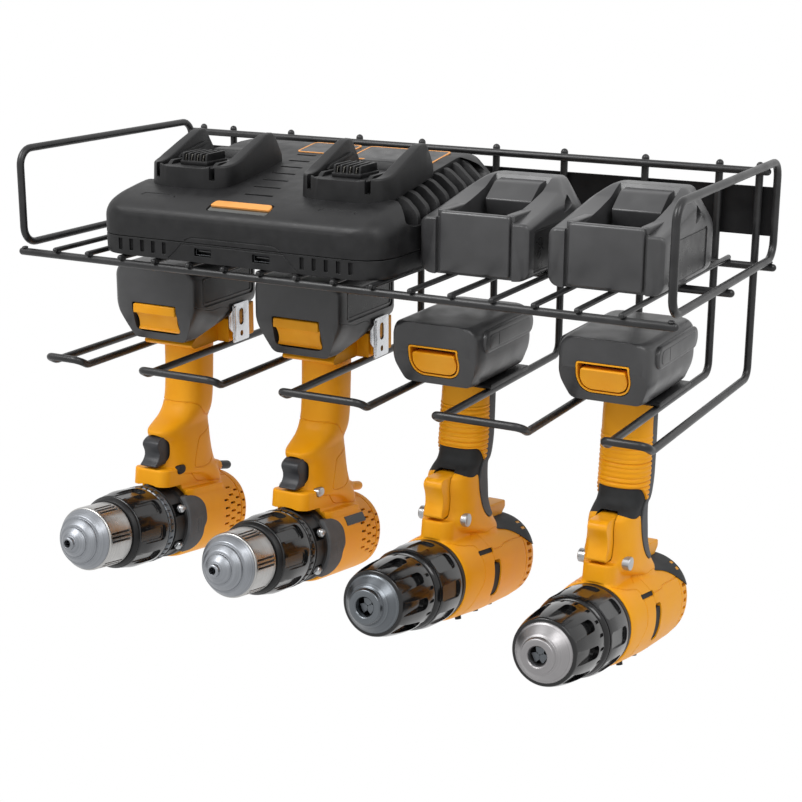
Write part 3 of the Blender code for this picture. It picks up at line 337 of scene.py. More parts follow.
def keep(bm, *tools):
    """What a body shares with other shapes."""
    return combine(bm, tools, 'INTERSECT')


def fuse(shapes, voxel, passes):
    """Overlapping shapes melted into one skin, with soft fillets where they meet."""

    def prepare(item):
        melt = item.modifiers.new("melt", 'REMESH')
        melt.mode = 'VOXEL'
        melt.voxel_size = voxel
        smooth = item.modifiers.new("smooth", 'SMOOTH')
        smooth.factor = 0.5
        smooth.iterations = passes

    return with_modifiers(joined(shapes), prepare)


def drape(bm, points, direction, spacing=1.2):
    """Points of a path, dropped along a direction onto a shape."""
    tree = BVHTree.FromBMesh(bm)
    aim = Vector(direction)
    dense = []
    for start, end in zip(points, points[1:]):
        start, end = Vector(start), Vector(end)
        count = max(1, round((end - start).length / spacing))
        dense += [start.lerp(end, k / count) for k in range(count)]
    dense.append(Vector(points[-1]))
    spots = [tree.ray_cast(point - aim * 200, aim)[0] for point in dense]
    return [spot for spot in spots if spot is not None]


def side_grooves(bm, lines, radius):
    """Seam lines cut in the two sides of a body, from (y, z, rounding) corners."""
    cutters = []
    for line in lines:
        path = rounded(corners(line), 5, closed=False)
        for side in (1, -1):
            spots = drape(bm, [(side * 60, p.x, p.y) for p in path], (-side, 0, 0))
            if len(spots) > 2:
                cutters.append(tube(spots, radius, 6))
    for cutter in cutters:
        bm = cut(bm, cutter)
    return bm


# Materials

# Finishes that several pieces share, each with the name of a record's slot.
WIRE_COAT = ("steel_wire_powder_coated", "powder_coat")
CHARGER_CASE = ("polycarbonate_black_spark_textured", "charger_black")
PACK_CASE = ("abs_dark_grey_moulded", "pack_grey")
PACK_FILM = ("vinyl_film_black", "pack_grey")
YELLOW_NYLON = ("nylon_yellow_glass_filled", "yellow_plastic")
YELLOW_ACETAL = ("acetal_yellow_moulded", "yellow_plastic")
BLACK_NYLON = ("nylon_black_moulded", "black_plastic")
POLISHED = ("polycarbonate_black_polished", "collar_black")
GREY_RUBBER = ("rubber_grey_overmoulded", "trigger_grey")
DARK_RUBBER = ("rubber_dark_overmoulded", "trigger_grey")
ZINC = ("zinc_button_satin", "trigger_grey")


def put(name, bm, finish, matrix, body, nodes=()):
    """Make a shape a piece of the model: in place, on its body, with its finish and its CAD nodes."""
    material, slot = finish
    bm.transform(Matrix.Scale(MM, 4) @ matrix)
    bmesh.ops.remove_doubles(bm, verts=bm.verts, dist=1e-6)
    bmesh.ops.dissolve_degenerate(bm, edges=bm.edges, dist=1e-7)
    mesh = bpy.data.meshes.new(name)
    bm.to_mesh(mesh)
    bm.free()
    mesh.materials.clear()
    mesh.materials.append(bpy.data.materials[material])
    mesh.shade_smooth()
    mesh.set_sharp_from_angle(angle=SHARP)
    item = linked(name, mesh)
    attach(item, body)
    if nodes:
        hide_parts(*nodes)


def add(unit, piece, bm, finish, matrix, node=None, moves=""):
    """Put a piece of a tool or pack: node ends the name of the CAD node it shows, moves that of its body."""
    put(unit + "_" + piece, bm, finish, matrix, unit + moves, [] if node is None else [unit + node])


def refinish(node, material):
    """Give a CAD solid that stays in the scene its finish."""
    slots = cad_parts[node].data.materials
    slots.clear()
    slots.append(bpy.data.materials[material])


def add_node(tree, kind, values=None, links=None, **settings):
    """Add one node, with its input values and its incoming links by socket name or number."""
    node = tree.nodes.new(kind)
    for name, value in settings.items():
        setattr(node, name, value)
    for name, value in (values or {}).items():
        node.inputs[name].default_value = value
    for name, source in (links or {}).items():
        tree.links.new(source, node.inputs[name])
    return node


def blank_material(name):
    """A new material with an empty node tree, and its tree and object coordinates."""
    material = bpy.data.materials.new(name)
    material.use_nodes = True
    tree = material.node_tree
    tree.nodes.clear()
    return material, tree, add_node(tree, "ShaderNodeTexCoord").outputs["Object"]


# What the noise patterns are spread over: their values seldom leave this range.
NOISE_RANGE = {"From Min": 0.3, "From Max": 0.7}


def finish_surface(tree, shade, gloss, bump, values):
    """The shader that every finish ends in: its colour, its uneven gloss and its relief."""
    low, high, broad = gloss
    rough = add_node(tree, "ShaderNodeMapRange", {**NOISE_RANGE, "To Min": low, "To Max": high},
                     {"Value": broad})
    surface = add_node(tree, "ShaderNodeBsdfPrincipled", values,
                       {"Base Color": shade.outputs[2], "Roughness": rough.outputs["Result"],
                        "Normal": bump.outputs["Normal"]})
    add_node(tree, "ShaderNodeOutputMaterial", None, {"Surface": surface.outputs["BSDF"]})


def skin_material(name, colour, roughness, grain, depth, edge, metallic=0, patch=9, coat=0, sheen=0.28):
    """A moulded, cast or coated surface.

    grain is the size of its fine texture in millimetres and depth its height, patch is the size in
    millimetres of the soft changes in gloss, and edge is the paler colour painted along its edges as a
    highlight, which the soft patches also lean towards at random. sheen is how much of a smooth
    surface's mirror light is left by the grain that is too fine to draw.
    """
    tree, place = blank_material(name)[1:]
    fine = add_node(tree, "ShaderNodeTexNoise", {"Scale": 1 / (grain * MM), "Detail": 3, "Roughness": 0.6},
                    {"Vector": place}).outputs["Fac"]
    broad = add_node(tree, "ShaderNodeTexNoise", {"Scale": 1 / (patch * MM), "Detail": 2},
                     {"Vector": place}).outputs["Fac"]
    soft = add_node(tree, "ShaderNodeBevel", {"Radius": 0.35 * MM}, samples=4).outputs["Normal"]
    plain = add_node(tree, "ShaderNodeNewGeometry").outputs["Normal"]
    match = add_node(tree, "ShaderNodeVectorMath", None, {0: soft, 1: plain}, operation='DOT_PRODUCT')
    # Painted highlight: where the bevel normal turns away from the true normal, at edges, the colour leans to
    # the paler edge colour.
    painted_edge_highlight = add_node(tree, "ShaderNodeMapRange",
                      {"From Min": 0.8, "From Max": 0.97, "To Min": 0.55, "To Max": 0},
                      {"Value": match.outputs["Value"]})
    tint = add_node(tree, "ShaderNodeMapRange", {**NOISE_RANGE, "To Min": 0, "To Max": 0.35},
                    {"Value": broad})
    # The stronger of the painted edge highlight and the random patches of paler tone.
    edge_highlight_and_tone = add_node(tree, "ShaderNodeMath", None, {0: painted_edge_highlight.outputs["Result"], 1: tint.outputs["Result"]},
                    operation='MAXIMUM', use_clamp=True)
    base = hex_colour(colour) if isinstance(colour, str) else tuple(colour)
    shade = add_node(tree, "ShaderNodeMix", {6: base, 7: hex_colour(edge)}, {0: edge_highlight_and_tone.outputs["Value"]},
                     data_type='RGBA')
    bump = add_node(tree, "ShaderNodeBump", {"Strength": 0.5, "Distance": depth * MM},
                    {"Height": fine, "Normal": soft})
    finish_surface(tree, shade, (roughness - 0.05, roughness + 0.07, broad), bump,
                   {"Specular IOR Level": 0.5 if metallic else sheen, "Metallic": metallic,
                    "Coat Weight": coat, "Coat Roughness": 0.12})


def turned_metal(name, colour, dark, roughness, pitch):
    """Metal cut on a lathe, with the fine rings that the tool leaves every pitch millimetres."""
    tree, place = blank_material(name)[1:]
    axis = (0, -math.cos(BARREL_TILT), math.sin(BARREL_TILT))
    along = add_node(tree, "ShaderNodeVectorMath", {1: axis}, {0: place}, operation='DOT_PRODUCT')
    rings = add_node(tree, "ShaderNodeTexNoise", {"Scale": 1 / (pitch * MM), "Detail": 2},
                     {"W": along.outputs["Value"]}, noise_dimensions='1D').outputs["Fac"]
    broad = add_node(tree, "ShaderNodeTexNoise", {"Scale": 1 / (6 * MM), "Detail": 3},
                     {"Vector": place}).outputs["Fac"]
    soft = add_node(tree, "ShaderNodeBevel", {"Radius": 0.3 * MM}, samples=4).outputs["Normal"]
    share = add_node(tree, "ShaderNodeMapRange", {**NOISE_RANGE, "To Min": 0.25, "To Max": 1},
                     {"Value": rings})
    shade = add_node(tree, "ShaderNodeMix", {6: hex_colour(dark), 7: hex_colour(colour)},
                     {0: share.outputs["Result"]}, data_type='RGBA')
    bump = add_node(tree, "ShaderNodeBump", {"Strength": 0.35, "Distance": 0.02 * MM},
                    {"Height": rings, "Normal": soft})
    finish_surface(tree, shade, (roughness - 0.05, roughness + 0.08, broad), bump, {"Metallic": 1})


def make_materials(colours):
    """Every finish of the rack, the charger, the packs and the drills."""
    # Steel wire, powder coated and baked: a thick satin skin with a slight orange peel.
    skin_material("steel_wire_powder_coated", colours.wire, 0.36, 0.9, 0.05, "#3A3A3B", patch=14, sheen=0.4)
    # Rolled steel strip with the same coat, flatter and a little duller.
    skin_material("steel_strip_powder_coated", colours.plate, 0.48, 1.1, 0.05, "#262627", patch=20,
                  sheen=0.16)
    # The charger's flame-retardant polycarbonate, moulded in a spark-eroded tool: a fine matt grain.
    # The real grain is about 0.15 mm and is drawn at 0.8 mm so that it shows.
    skin_material("polycarbonate_black_spark_textured", colours.charger, 0.46, 0.8, 0.1, "#2A2A2B", sheen=0.3)
    # Dark grey ABS of the pack cases, moulded with a finer, silkier grain.
    skin_material("abs_dark_grey_moulded", colours.pack, 0.33, 0.7, 0.03, "#4C4C4D", patch=16, sheen=0.5)
    # Glass-filled nylon of the housings, coloured through and moulded with a fine matt grain.
    skin_material("nylon_yellow_glass_filled", colours.yellow, 0.44, 0.7, 0.05, "#F0AC2A", patch=18,
                  sheen=0.2)
    # Acetal latches and triggers in the same yellow, smoother and more waxy.
    skin_material("acetal_yellow_moulded", colours.yellow, 0.34, 1.1, 0.02, "#F4B234", patch=12, sheen=0.25)
    # Overmoulded soft rubber: dull, with a pebbled feel.
    skin_material("rubber_grey_overmoulded", "#4C4D4F", 0.68, 0.9, 0.12, "#68696B", sheen=0.2)
    skin_material("rubber_dark_overmoulded", "#222324", 0.62, 0.9, 0.12, "#3A3B3C", sheen=0.2)
    # Nylon of the heavy drills' triggers, moulded in a satin tool, so it keeps a soft gleam.
    skin_material("nylon_grey_satin", "#313235", 0.38, 0.8, 0.04, "#4C4D50")
    # Cast zinc of buttons and screw heads, tumbled to a pale satin.
    skin_material("zinc_button_satin", "#A9ABAD", 0.34, 1.2, 0.02, "#D0D1D2", metallic=0.8)
    # The clutch collars are polished polycarbonate, nearly a mirror where they curve.
    skin_material("polycarbonate_black_polished", "#0C0C0D", 0.17, 1.6, 0.015, "#202021", patch=24, coat=0.3)
    # Black nylon of gear cases and feet, moulded with a fine matt grain.
    skin_material("nylon_black_moulded", "#0E0E0F", 0.42, 0.8, 0.05, "#262627")
    # Chuck sleeves: steel turned on a lathe, left bright or blackened in hot salts. Their noses are
    # blasted with fine grit after turning, which leaves them duller.
    turned_metal("steel_turned_bright", "#B7B6B4", "#9C9B9A", 0.32, 0.7)
    turned_metal("steel_turned_blackened", "#6A6E72", "#4C4F53", 0.3, 0.8)
    turned_metal("steel_blasted_satin", "#92959A", "#7E8185", 0.42, 0.9)
    # One compact drill's chuck cone: aluminium, turned and left with a pale satin.
    turned_metal("aluminium_turned_satin", "#9A9899", "#858384", 0.4, 0.6)
    # Belt clips: spring steel strip, pressed and nickel plated.
    skin_material("spring_steel_nickel_plated", "#C9CBCE", 0.24, 1.5, 0.03, "#F0F0F0", metallic=1)
    # Blackened steel of small screws and port shells, with its paler edge colour as a painted highlight.
    skin_material("screw_steel_blackened", "#2A2B2D", 0.3, 1, 0.03, "#6A6B6D", metallic=0.9)
    # Contact blades, stamped from bronze sheet and tin plated, dulled by use.
    skin_material("bronze_tin_plated", "#6F6D68", 0.38, 1, 0.02, "#A5A29B", metallic=1)
    # Printed vinyl panels, left bare: a satin film with a printed border.
    skin_material("vinyl_film_black", "#161617", 0.3, 2, 0.01, "#242425", sheen=0.35)
    skin_material("vinyl_film_orange", "#D68F45", 0.42, 2, 0.01, "#E2A35E")
    # Smoked light window over the charger's status lamps.
    skin_material("acrylic_smoked_window", "#23251F", 0.1, 3, 0.005, "#34362F", coat=0.5, sheen=0.5)
    # Glass fibre board with green solder mask.
    skin_material("fibreglass_board_green", "#1F5B35", 0.42, 1, 0.03, "#3C7D50")


def seen_directly(tree):
    """One for camera, mirror and glass rays, and zero for the rays that light the object."""
    path = add_node(tree, "ShaderNodeLightPath").outputs
    some = add_node(tree, "ShaderNodeMath", None, {0: path["Is Camera Ray"], 1: path["Is Glossy Ray"]},
                    operation='MAXIMUM').outputs["Value"]
    return add_node(tree, "ShaderNodeMath", None, {0: some, 1: path["Is Transmission Ray"]},
                    operation='MAXIMUM').outputs["Value"]


def stage_material(colour):
    """Matt studio paper: pure white to the camera and in reflections, and shaded by the object."""
    material, tree, place = blank_material("paper_matt_white")
    fibre = add_node(tree, "ShaderNodeTexNoise", {"Scale": 1 / (2 * MM), "Detail": 3}, {"Vector": place})
    bump = add_node(tree, "ShaderNodeBump", {"Strength": 0.05, "Distance": 0.1 * MM},
                    {"Height": fibre.outputs["Fac"]})
    paper = add_node(tree, "ShaderNodeBsdfPrincipled", {"Base Color": colour, "Roughness": 0.85},
                     {"Normal": bump.outputs["Normal"]})
    glow = add_node(tree, "ShaderNodeEmission", {"Color": (1, 1, 1, 1), "Strength": 1})
    mix = add_node(tree, "ShaderNodeMixShader", None,
                   {"Fac": seen_directly(tree), 1: paper.outputs["BSDF"], 2: glow.outputs["Emission"]})
    add_node(tree, "ShaderNodeOutputMaterial", None, {"Surface": mix.outputs["Shader"]})
    return material


# Rack

WORLD = Matrix.Identity(4)
CAD = {name: [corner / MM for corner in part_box(name)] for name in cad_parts}
UPRIGHT_Y, ARM_Z, LOOP_REACH, LIP_RISE = -4.3, -110.1, 187.5, 4.8
SHELF_FRONT, SHELF_BACK = -199, -9.6
CROSS_PITCH = 453.5 / 17.25
WELD_Y = -7.1


def make_rack(rack):
    """The wire frame with its welds, and the plate behind it."""
    radius = rack.wire / MM / 2
    low, high = CAD["side_guard_left"]
    for side in ("left", "right"):
        x = sum(corner.x for corner in CAD["side_guard_" + side]) / 2
        path = [(x, *spot) for spot in box_outline(low.y + radius, high.y - radius, low.z + radius,
                                                   high.z - radius, 11)]
        put("guard_wire_" + side, hoop(rounded(path, 8), radius), WIRE_COAT, WORLD, "rack",
            ["side_guard_" + side])
    beads = []
    rail = CAD["top_rail"]
    for number in range(1, 6):
        name = "tool_loop_%d" % number
        left, right = CAD[name][0].x + radius, CAD[name][1].x - radius
        top, lip_y = CAD[name][1].z - radius * 0.7, CAD[name][0].y + radius
        leg = [(UPRIGHT_Y, top, 0), (UPRIGHT_Y, ARM_Z, 8), (-LOOP_REACH, ARM_Z, 2),
               (lip_y, ARM_Z + LIP_RISE, 6.8)]
        path = [(left, *spot) for spot in leg] + [(right, *spot) for spot in reversed(leg)]
        put("loop_wire_%d" % number, tube(rounded(path, 7, closed=False), radius, 16, dome=True), WIRE_COAT,
            WORLD, "rack", [name])
        beads += [((x, WELD_Y, z), (2.2, 1.9, 2.6)) for x in (left, right)
                  for z in ((rail[0].z + rail[1].z) / 2, CAD["shelf_grid"][0].z + radius)]

    def rod(ends, y, z, thick=radius, sides=16):
        return tube([(x, y, z) for x in ends], thick, sides, dome=True)

    middle = (rail[0] + rail[1]) / 2
    put("top_rail_wire", rod((rail[0].x + radius, rail[1].x - radius), middle.y, middle.z), WIRE_COAT, WORLD,
        "rack", ["top_rail"])
    low, high = CAD["shelf_grid"]
    cross = rack.cross_wire / MM / 2
    rail_rows = (SHELF_FRONT, SHELF_FRONT + (SHELF_BACK - SHELF_FRONT) * 0.53, SHELF_BACK)
    rods = [rod((low.x + radius, high.x - radius), y, low.z + radius) for y in rail_rows]
    for x in [CROSS_PITCH * (k - 7.5) for k in range(16)]:
        rods.append(tube([(x, low.y + cross, high.z - cross), (x, -8, high.z - cross)], cross, 12, dome=True))
        beads += [((x, y, high.z - cross - 1.1), (2.3, 2.3, 0.9)) for y in rail_rows]
    put("shelf_wires", joined(rods), WIRE_COAT, WORLD, "rack", ["shelf_grid"])
    guard_z = CAD["side_guard_left"][0].z
    for x in (-225, 225):
        beads += [((x, SHELF_FRONT, guard_z), (2, 2.4, 1)), ((x, SHELF_BACK, guard_z + 0.5), (2, 2.4, 1.2))]
    blobs = []
    for place, size in beads:
        blob = bmesh.new()
        bmesh.ops.create_icosphere(blob, subdivisions=2, radius=1,
                                   matrix=Matrix.Translation(place) @ Matrix.Diagonal((*size, 1)))
        blobs.append(blob)
    put("weld_beads", joined(blobs), WIRE_COAT, WORLD, "rack")
    refinish("back_plate", "steel_strip_powder_coated")


# Drills

SEAT_Z = -107.6
HOUSING_FRONT, CASE_FRONT = 31.6, 59.9
SCREW_ANGLES = (-32, 29, 151, 212)
# z, reach ahead, reach back, half width
HEAVY_COLUMN = ("2 17 -15.8 15.9, -20 17.2 -14.4 16, -36 18.8 -13.2 16, -44 22 -12.6 15.8, -50 29 -12.2 15, "
                "-54 39.5 -11.8 14, -57 46 -11.4 13.6, -60 45.4 -11.2 14, -64 42.5 -11 14.6, "
                "-70 41.5 -10.9 15.4, -77 42.5 -11.6 16, -83 45 -12.8 16.6, -88 42 -14 17, "
                "-94 20 -15 17.2, -101 8 -16.4 17.2, -114 4 -16 15")
COMPACT_COLUMN = ("2 17.3 -17.3 15.2, -13 17.9 -16.4 15.9, -39.6 20.9 -14.8 16.2, -50 23 -12.8 16, "
                  "-54.5 27 -11.4 15.8, -57.5 37 -10.6 15.4, -60.5 41.6 -10 15.6, -66 42.4 -9.2 16, "
                  "-74 41.4 -8.7 16.6, -81.8 43 -8.6 17.2, -87 45.5 -10.1 17.8, -91.5 45 -12 18.2, "
                  "-97.7 34 -14.8 18.6, -105.6 16 -18.3 19, -124 14 -17 17")
# y, z, rounding
HEAVY_SEAMS = (
    "-20.5 -41 0, -13 -41.5 4, -5.5 -51.5 4, 2 -54 4, 8.2 -51 3, 9.6 -36 6, 11.2 -6 0",
    "7.5 -62 0, 2 -63.5 3, -13.5 -66.5 3, -18 -76 6, -22.5 -86.5 3, -10 -89 4, 2 -87 5, 9 -78 0",
    "-31 -88.5 0, -24 -90 3, -17 -99 4, 5 -103.5 5, 20 -104.5 4, 29 -108 0",
)
COMPACT_SEAMS = ("-26.5 -104 0, -18 -101 3, -10 -104.5 3, 0 -103 3, 18 -110 2, 33 -111.5 0",
                 "-16 -103 0, -15 -116 4, -18 -136 4, -16 -150 0")
MOTOR_SEAMS = ("-47 26 0, -38 23.5 3, -24 22 3, -24 11 4, -25 -1 3, -32 -9 3, -36 -22 0",
               "-7.4 17.2 0, 6 17.2 2, 10 18.6 2, 40 18.6 0")
BAND_EDGE = ("-60 -55 0, -38 -55 3, -30 -60.5 5, -22.5 -62 4, -17.6 -61 2, -16.8 -66 3, -16.8 -74 6, "
             "-13 -88 6, -4 -95.5 3, 40 -95.5 0, 40 20 0, -60 20 0")
STRIP_EDGE = ("-3 -3 1.5, -3.8 -20 10, -4.4 -36 8, -8 -52 6, -16.4 -64 5, -16.4 -74 6, -12.6 -88 6, "
              "-3.6 -95.1 3, 40 -95.1 0, 40 -3 0")
SLEEVE_EDGE = ("-40 -3 0, -40 -43.5 0, -15 -44.5 3, -11.6 -48.5 3, -9.2 -54 2, -7.4 -53 2, -4.9 -38 6, "
               "-4.2 -20 8, -3.4 -3 0")


def drill_places(name, ahead, drop):
    """The seat of a drill under its pack, the axis of its barrel, and the seat of its pack."""
    low, high = CAD[name + "_pack"]
    x = (low.x + high.x) / 2
    seat = Matrix.Translation((x, low.y + ahead, SEAT_Z))
    barrel = seat @ Matrix.Translation((0, -8, -drop)) @ Matrix.Rotation(-BARREL_TILT, 4, 'X')
    pack = Matrix.Translation((x, (low.y + high.y) / 2, high.z)) @ Matrix.Rotation(math.pi, 4, 'X')
    return seat, barrel, pack


def lowered(rows, extra, index=1, start=-20):
    """Rows with the places under a level moved down by the extra length of a grip."""
    return [tuple(v - extra if k == index and v < start else v for k, v in enumerate(row))
            for row in corners(rows)]


def rail_blocks(pack_top, rail, floor, start, rear):
    """The neck and wings under the foot that the pack slides onto."""
    top = pack_top - floor - 0.4
    return [block((-rail / 2 + 2.9, start, 2), (rail / 2 - 2.9, rear, top), 0.3),
            block((-rail / 2 + 0.4, start + 0.4, top - 3.2), (rail / 2 - 0.4, rear - 0.1, top + 0.01), 0.3)]


def vent_rows(rows, low_radius, high_radius, half):
    """Slots let into both sides of a motor: rows are where each starts and ends ahead, and its angles."""
    return [turned(block((low_radius, -end, -half), (high_radius, -start, half), 0.3), side)
            for start, end, angles in rows for angle in angles for side in (-angle, 180 + angle)]


def make_heavy_drill(name, drop, nub, band):
    """A heavy drill with its steel chuck, hanging by its foot."""
    seat, barrel, pack = drill_places(name, 41, drop)
    tilt = seat.inverted() @ barrel
    extra = drop - 127
    shell = lathe([(HOUSING_FRONT, 26.8, 1), (27, 27.8, 2), (-28, 27.8, 0.3)], 72, 0.93)
    tongue = slab(both_sides("21 12 1, 21 -30 6, 14.3 -38 6, 14.3 -52.3 14"), 17, 38.8, axis=2, steps=6,
                  edge=1.6)
    tongue = cut(tongue, block((14.5, -60, 24), (30, 20, 50)), block((-30, -60, 24), (-14.5, 20, 50)))
    spur = skin([[(r * u, y, z - extra + r * v * 1.15) for u, v in ring_of(20)] for y, z, r in corners(
        "6 -92 9, 13 -95.2 7.6, 20 -98.2 5.6, 26 -100.6 4.2, 32 -102.6 3.6")])
    body = fuse([column(lowered(HEAVY_COLUMN, extra, 0)), moved(shell, tilt), moved(tongue, tilt), spur],
                0.9, 4)
    body = cut(body, moved(lathe([(HOUSING_FRONT - 0.6, 27.9, 0.1), (96, 27.9, 0.1)]), tilt))
    body = cut(body, moved(block((-30, -62, 2), (30, -HOUSING_FRONT - 0.4, 26.8)), tilt))
    mouth = lowered(box_outline(-8.1, 8.1, -80.9, -58.8, 7.4), extra)
    body = cut(body, slab(mouth, -70, -13, axis=1, steps=6))
    middle = -35.4 - 0.085 * extra
    body = cut(body, slab(box_outline(middle - 4.6, middle + 4.6, -87.7 - extra, -81.3 - extra, 3.1),
                          -22, 22))
    body = side_grooves(body, [lowered(line, extra) for line in HEAVY_SEAMS], 0.55)
    front = drape(body, [(-12, -80, -40.6 - extra), (12, -80, -40.6 - extra)], (0, 1, 0))
    body = cut(body, tube(front, 0.55, 6))
    vents = [(-12.5, -7, (-12, 0, 12, 24)), (-20, -14.5, (-18, -6, 6, 18, 30, 42)),
             (-27, -22, (-24, -12, 0, 12, 24, 36))]
    body = cut(body, *[moved(slot, tilt) for slot in vent_rows(vents, 24.5, 31, 0.75)])
    foot = slab("-26.2 3 .8, -23.2 .3 2, 39 .3 1.5, 39 24 1, -8.8 13.5 1, -23.2 6 1", -29.1, 29.1, edge=0.8)
    # The foot's front corners are cut back to the width of the neck.
    foot = cut(foot, *[block((low, -40, -1), (low + 20, 6, 40)) for low in (20, -40)])
    body = weld(body, foot, *rail_blocks(60, 44, 24, -8.6, 39))
    add(name, "nylon_housing", body, YELLOW_NYLON, seat, "_housing")
    # A black core behind the vent slots: painted shade, so that the slots read dark.
    add(name, "painted_vent_shade", lathe("-4 26 .3, -35.4 25.2 2", 60, 0.93), BLACK_NYLON, barrel)
    tip = tube([(0, 30, -102 - extra), (0, 42.6, -105.4 - extra)], 3.2, 20, dome=True)
    add(name, "hook_peg", tip, nub, seat)
    cap = lathe("-28.3 27.7 .4, -34.6 27.4 1.8, -36.9 25 1.8, -37 10 1", 72, 0.93)
    slots = vent_rows([(-33.6, -29.6, (-18, -6, 6, 18, 30))], 23.5, 31, 0.75)
    add(name, "end_cap", cut(cap, *slots), YELLOW_NYLON, barrel, "_rear_cap")
    make_side_pads(name, barrel)
    make_gearcase(name, barrel, band)
    make_heavy_collar(name, barrel)
    make_heavy_chuck(name, barrel)
    trigger = slab(lowered("-20 -60.4 1, -46.5 -60.2 3, -51.9 -63.6 2.6, -48.4 -71.2 6, -50.2 -75.4 4, "
                           "-54.8 -78.6 1.4, -53.4 -79.6 .8, -20 -79.6 1", extra), -6.5, 6.5, edge=3, steps=5)
    add(name, "trigger_paddle", trigger, ("nylon_grey_satin", "trigger_grey"), seat, "_trigger", "_trigger")
    z = -84.5 - extra
    bar = slab(box_outline(middle - 4.2, middle + 4.2, z - 2.95, z + 2.95, 2.8), -15.9, 15.9, edge=0.9,
               steps=5)
    add(name, "direction_bar", bar, DARK_RUBBER if nub == BLACK_NYLON else ZINC, seat, "_direction_button",
        "_direction_button")
    make_clip(name, seat)
    return pack


def make_side_pads(name, barrel):
    """Rubber bumpers let into both sides of the motor, behind the gear case."""
    ring = lathe("17 28.7 1.2, 38.4 28.7 1.6", 84, 0.95)
    edge = ("-38.2 -19.5 2, -24 -19.5 6, -20.4 -9 5, -21.4 -3 3, -18.2 1 3, -18.2 15 6, -25 19.8 5, "
            "-38.2 19.8 2")
    ribs = [block((low, y - 0.35, -7), (low + 15, y + 0.35, 13), 0.3, 2)
            for y in (-22.4, -25.6, -28.8) for low in (28.35, -43.35)]
    add(name, "bumper_pads", cut(keep(ring, *pair(edge, 12, 40, steps=5)), *ribs), GREY_RUBBER, barrel)
    if name == "drill_2":
        # This drill alone has two bare plates on its motor.
        plates = [block((low, -11, 12.6), (low + 16, 14.5, 18.2)) for low in (17, -33)]
        add(name, "bare_plates", keep(lathe("-15 28.1 .1, 12 28.1 .1", 84, 0.93), *plates),
            ("vinyl_film_black", "black_plastic"), barrel)


def make_gearcase(name, barrel, band):
    """The black gear case between housing and collar, with its screws, toothed ring and spindle."""
    case = lathe("29 26.2 .3, 38 26.4 1.2, 39.4 25.2 .5, 50.6 25.2 .5, 51.8 26.6 .4, 53 26.6 .3, "
                 "53.2 25.6 .1, 54 25.6 .1, 54.2 15 .1, 87 15 .3, 87 6 .2, 95 6 .2", 84)
    pockets, heads = [], []
    for angle in SCREW_ANGLES:
        spot = Matrix.Rotation(math.radians(-angle), 4, 'Y') @ Matrix.Translation((25.6, 0, 0))
        pockets.append(moved(lathe("39 4.6 1.6, 50.8 4.6 .6", 24), spot))
        head = lathe("38.5 2 .2, 42 2 .2, 42.2 3 .4, 43.4 3 .9, 45 1.6 .9, 45.2 0 0", 24)
        heads.append(moved(cut(head, block((-0.4, -46, -2.2), (0.4, -44.4, 2.2))), spot))
    add(name, "case_screws", joined(heads), ("zinc_button_satin", "dark_metal"), barrel)
    add(name, "gear_case", cut(case, *pockets), BLACK_NYLON, barrel, "_drive")
    ring = lathe([(54.3, 26.4, 0.3), (55.2, 26.8, 0.3), (59, 26.8, 0.4), (CASE_FRONT, 25.8, 0.4)], 108,
                 bore=15.2)
    notch = block((-0.8, -60.5, 26), (0.8, -56.4, 28), 0.2)
    add(name, "index_ring", cut(ring, *around(notch, 36)), (band, "black_plastic"), barrel)


def make_heavy_collar(name, barrel):
    """The polished clutch collar with a ring of sunk grips, and the dull lip before the chuck."""
    body = lathe("60.2 25.4 .4, 61.2 26.6 .5, 80 26.8 4, 87 25.5 2, 90.8 24.7 .7, 91.2 23.8 .3", 126,
                 bore=15.4)
    body = cut(body, *around(slab(both_sides("5.2 -90 .3, 5.6 -64.6 3.6"), 25.1, 30, axis=2, steps=5), 9,
                             0.15))
    body = cut(body, *around(slab(both_sides("3.4 -90 .3, 3.8 -67 2.6"), 24.6, 30, axis=2, steps=5), 9, 0.15))
    add(name, "clutch_collar", body, POLISHED, barrel, "_clutch_ring", "_clutch_ring")
    lip = lathe("91.3 24 .4, 92 24 .4, 94.7 22.2 .6", 108, bore=15.6)
    add(name, "collar_lip", lip, ("nylon_black_moulded", "collar_black"), barrel, moves="_clutch_ring")


def make_heavy_chuck(name, barrel):
    """The steel chuck: a sleeve with flutes in groups of three, and a stepped nose."""
    sleeve = lathe("95.3 20.8 .5, 96.2 21.6 .6, 118 21.2 .6, 119 20.5 .5", 144)
    flutes = [turned(block((-0.75, -117, 19.9), (0.75, -98, 24), 0.4, 2), 60 * group + 7.2 * place + 20)
              for group in range(6) for place in (-1, 0, 1)]
    add(name, "chuck_sleeve", cut(sleeve, *flutes), ("steel_turned_bright", "bright_steel"), barrel,
        moves="_chuck")
    # A blackened cylinder under the flutes: painted shade that darkens the groove floors.
    add(name, "painted_flute_shade", lathe("96.4 20.3 .2, 118.4 20.1 .2", 96),
        ("screw_steel_blackened", "dark_metal"), barrel, moves="_chuck")
    nose = lathe("119.1 20.4 .4, 120 19.7 .8, 124.8 16.6 .5, 125 15 .2, 126.4 14.8 .6, 129.9 11.6 .9, "
                 "130.1 9.9 .2, 131.2 9.7 .6, 133.6 7 1.4, 134.6 5.4 .8, 134.8 4.3 .3, 137.3 4.2 .5, "
                 "137.8 3.3 .2, 137.8 2.5 .2, 129 2.4 .1", 120)
    add(name, "chuck_nose", nose, ("steel_blasted_satin", "bright_steel"), barrel, "_chuck", "_chuck")


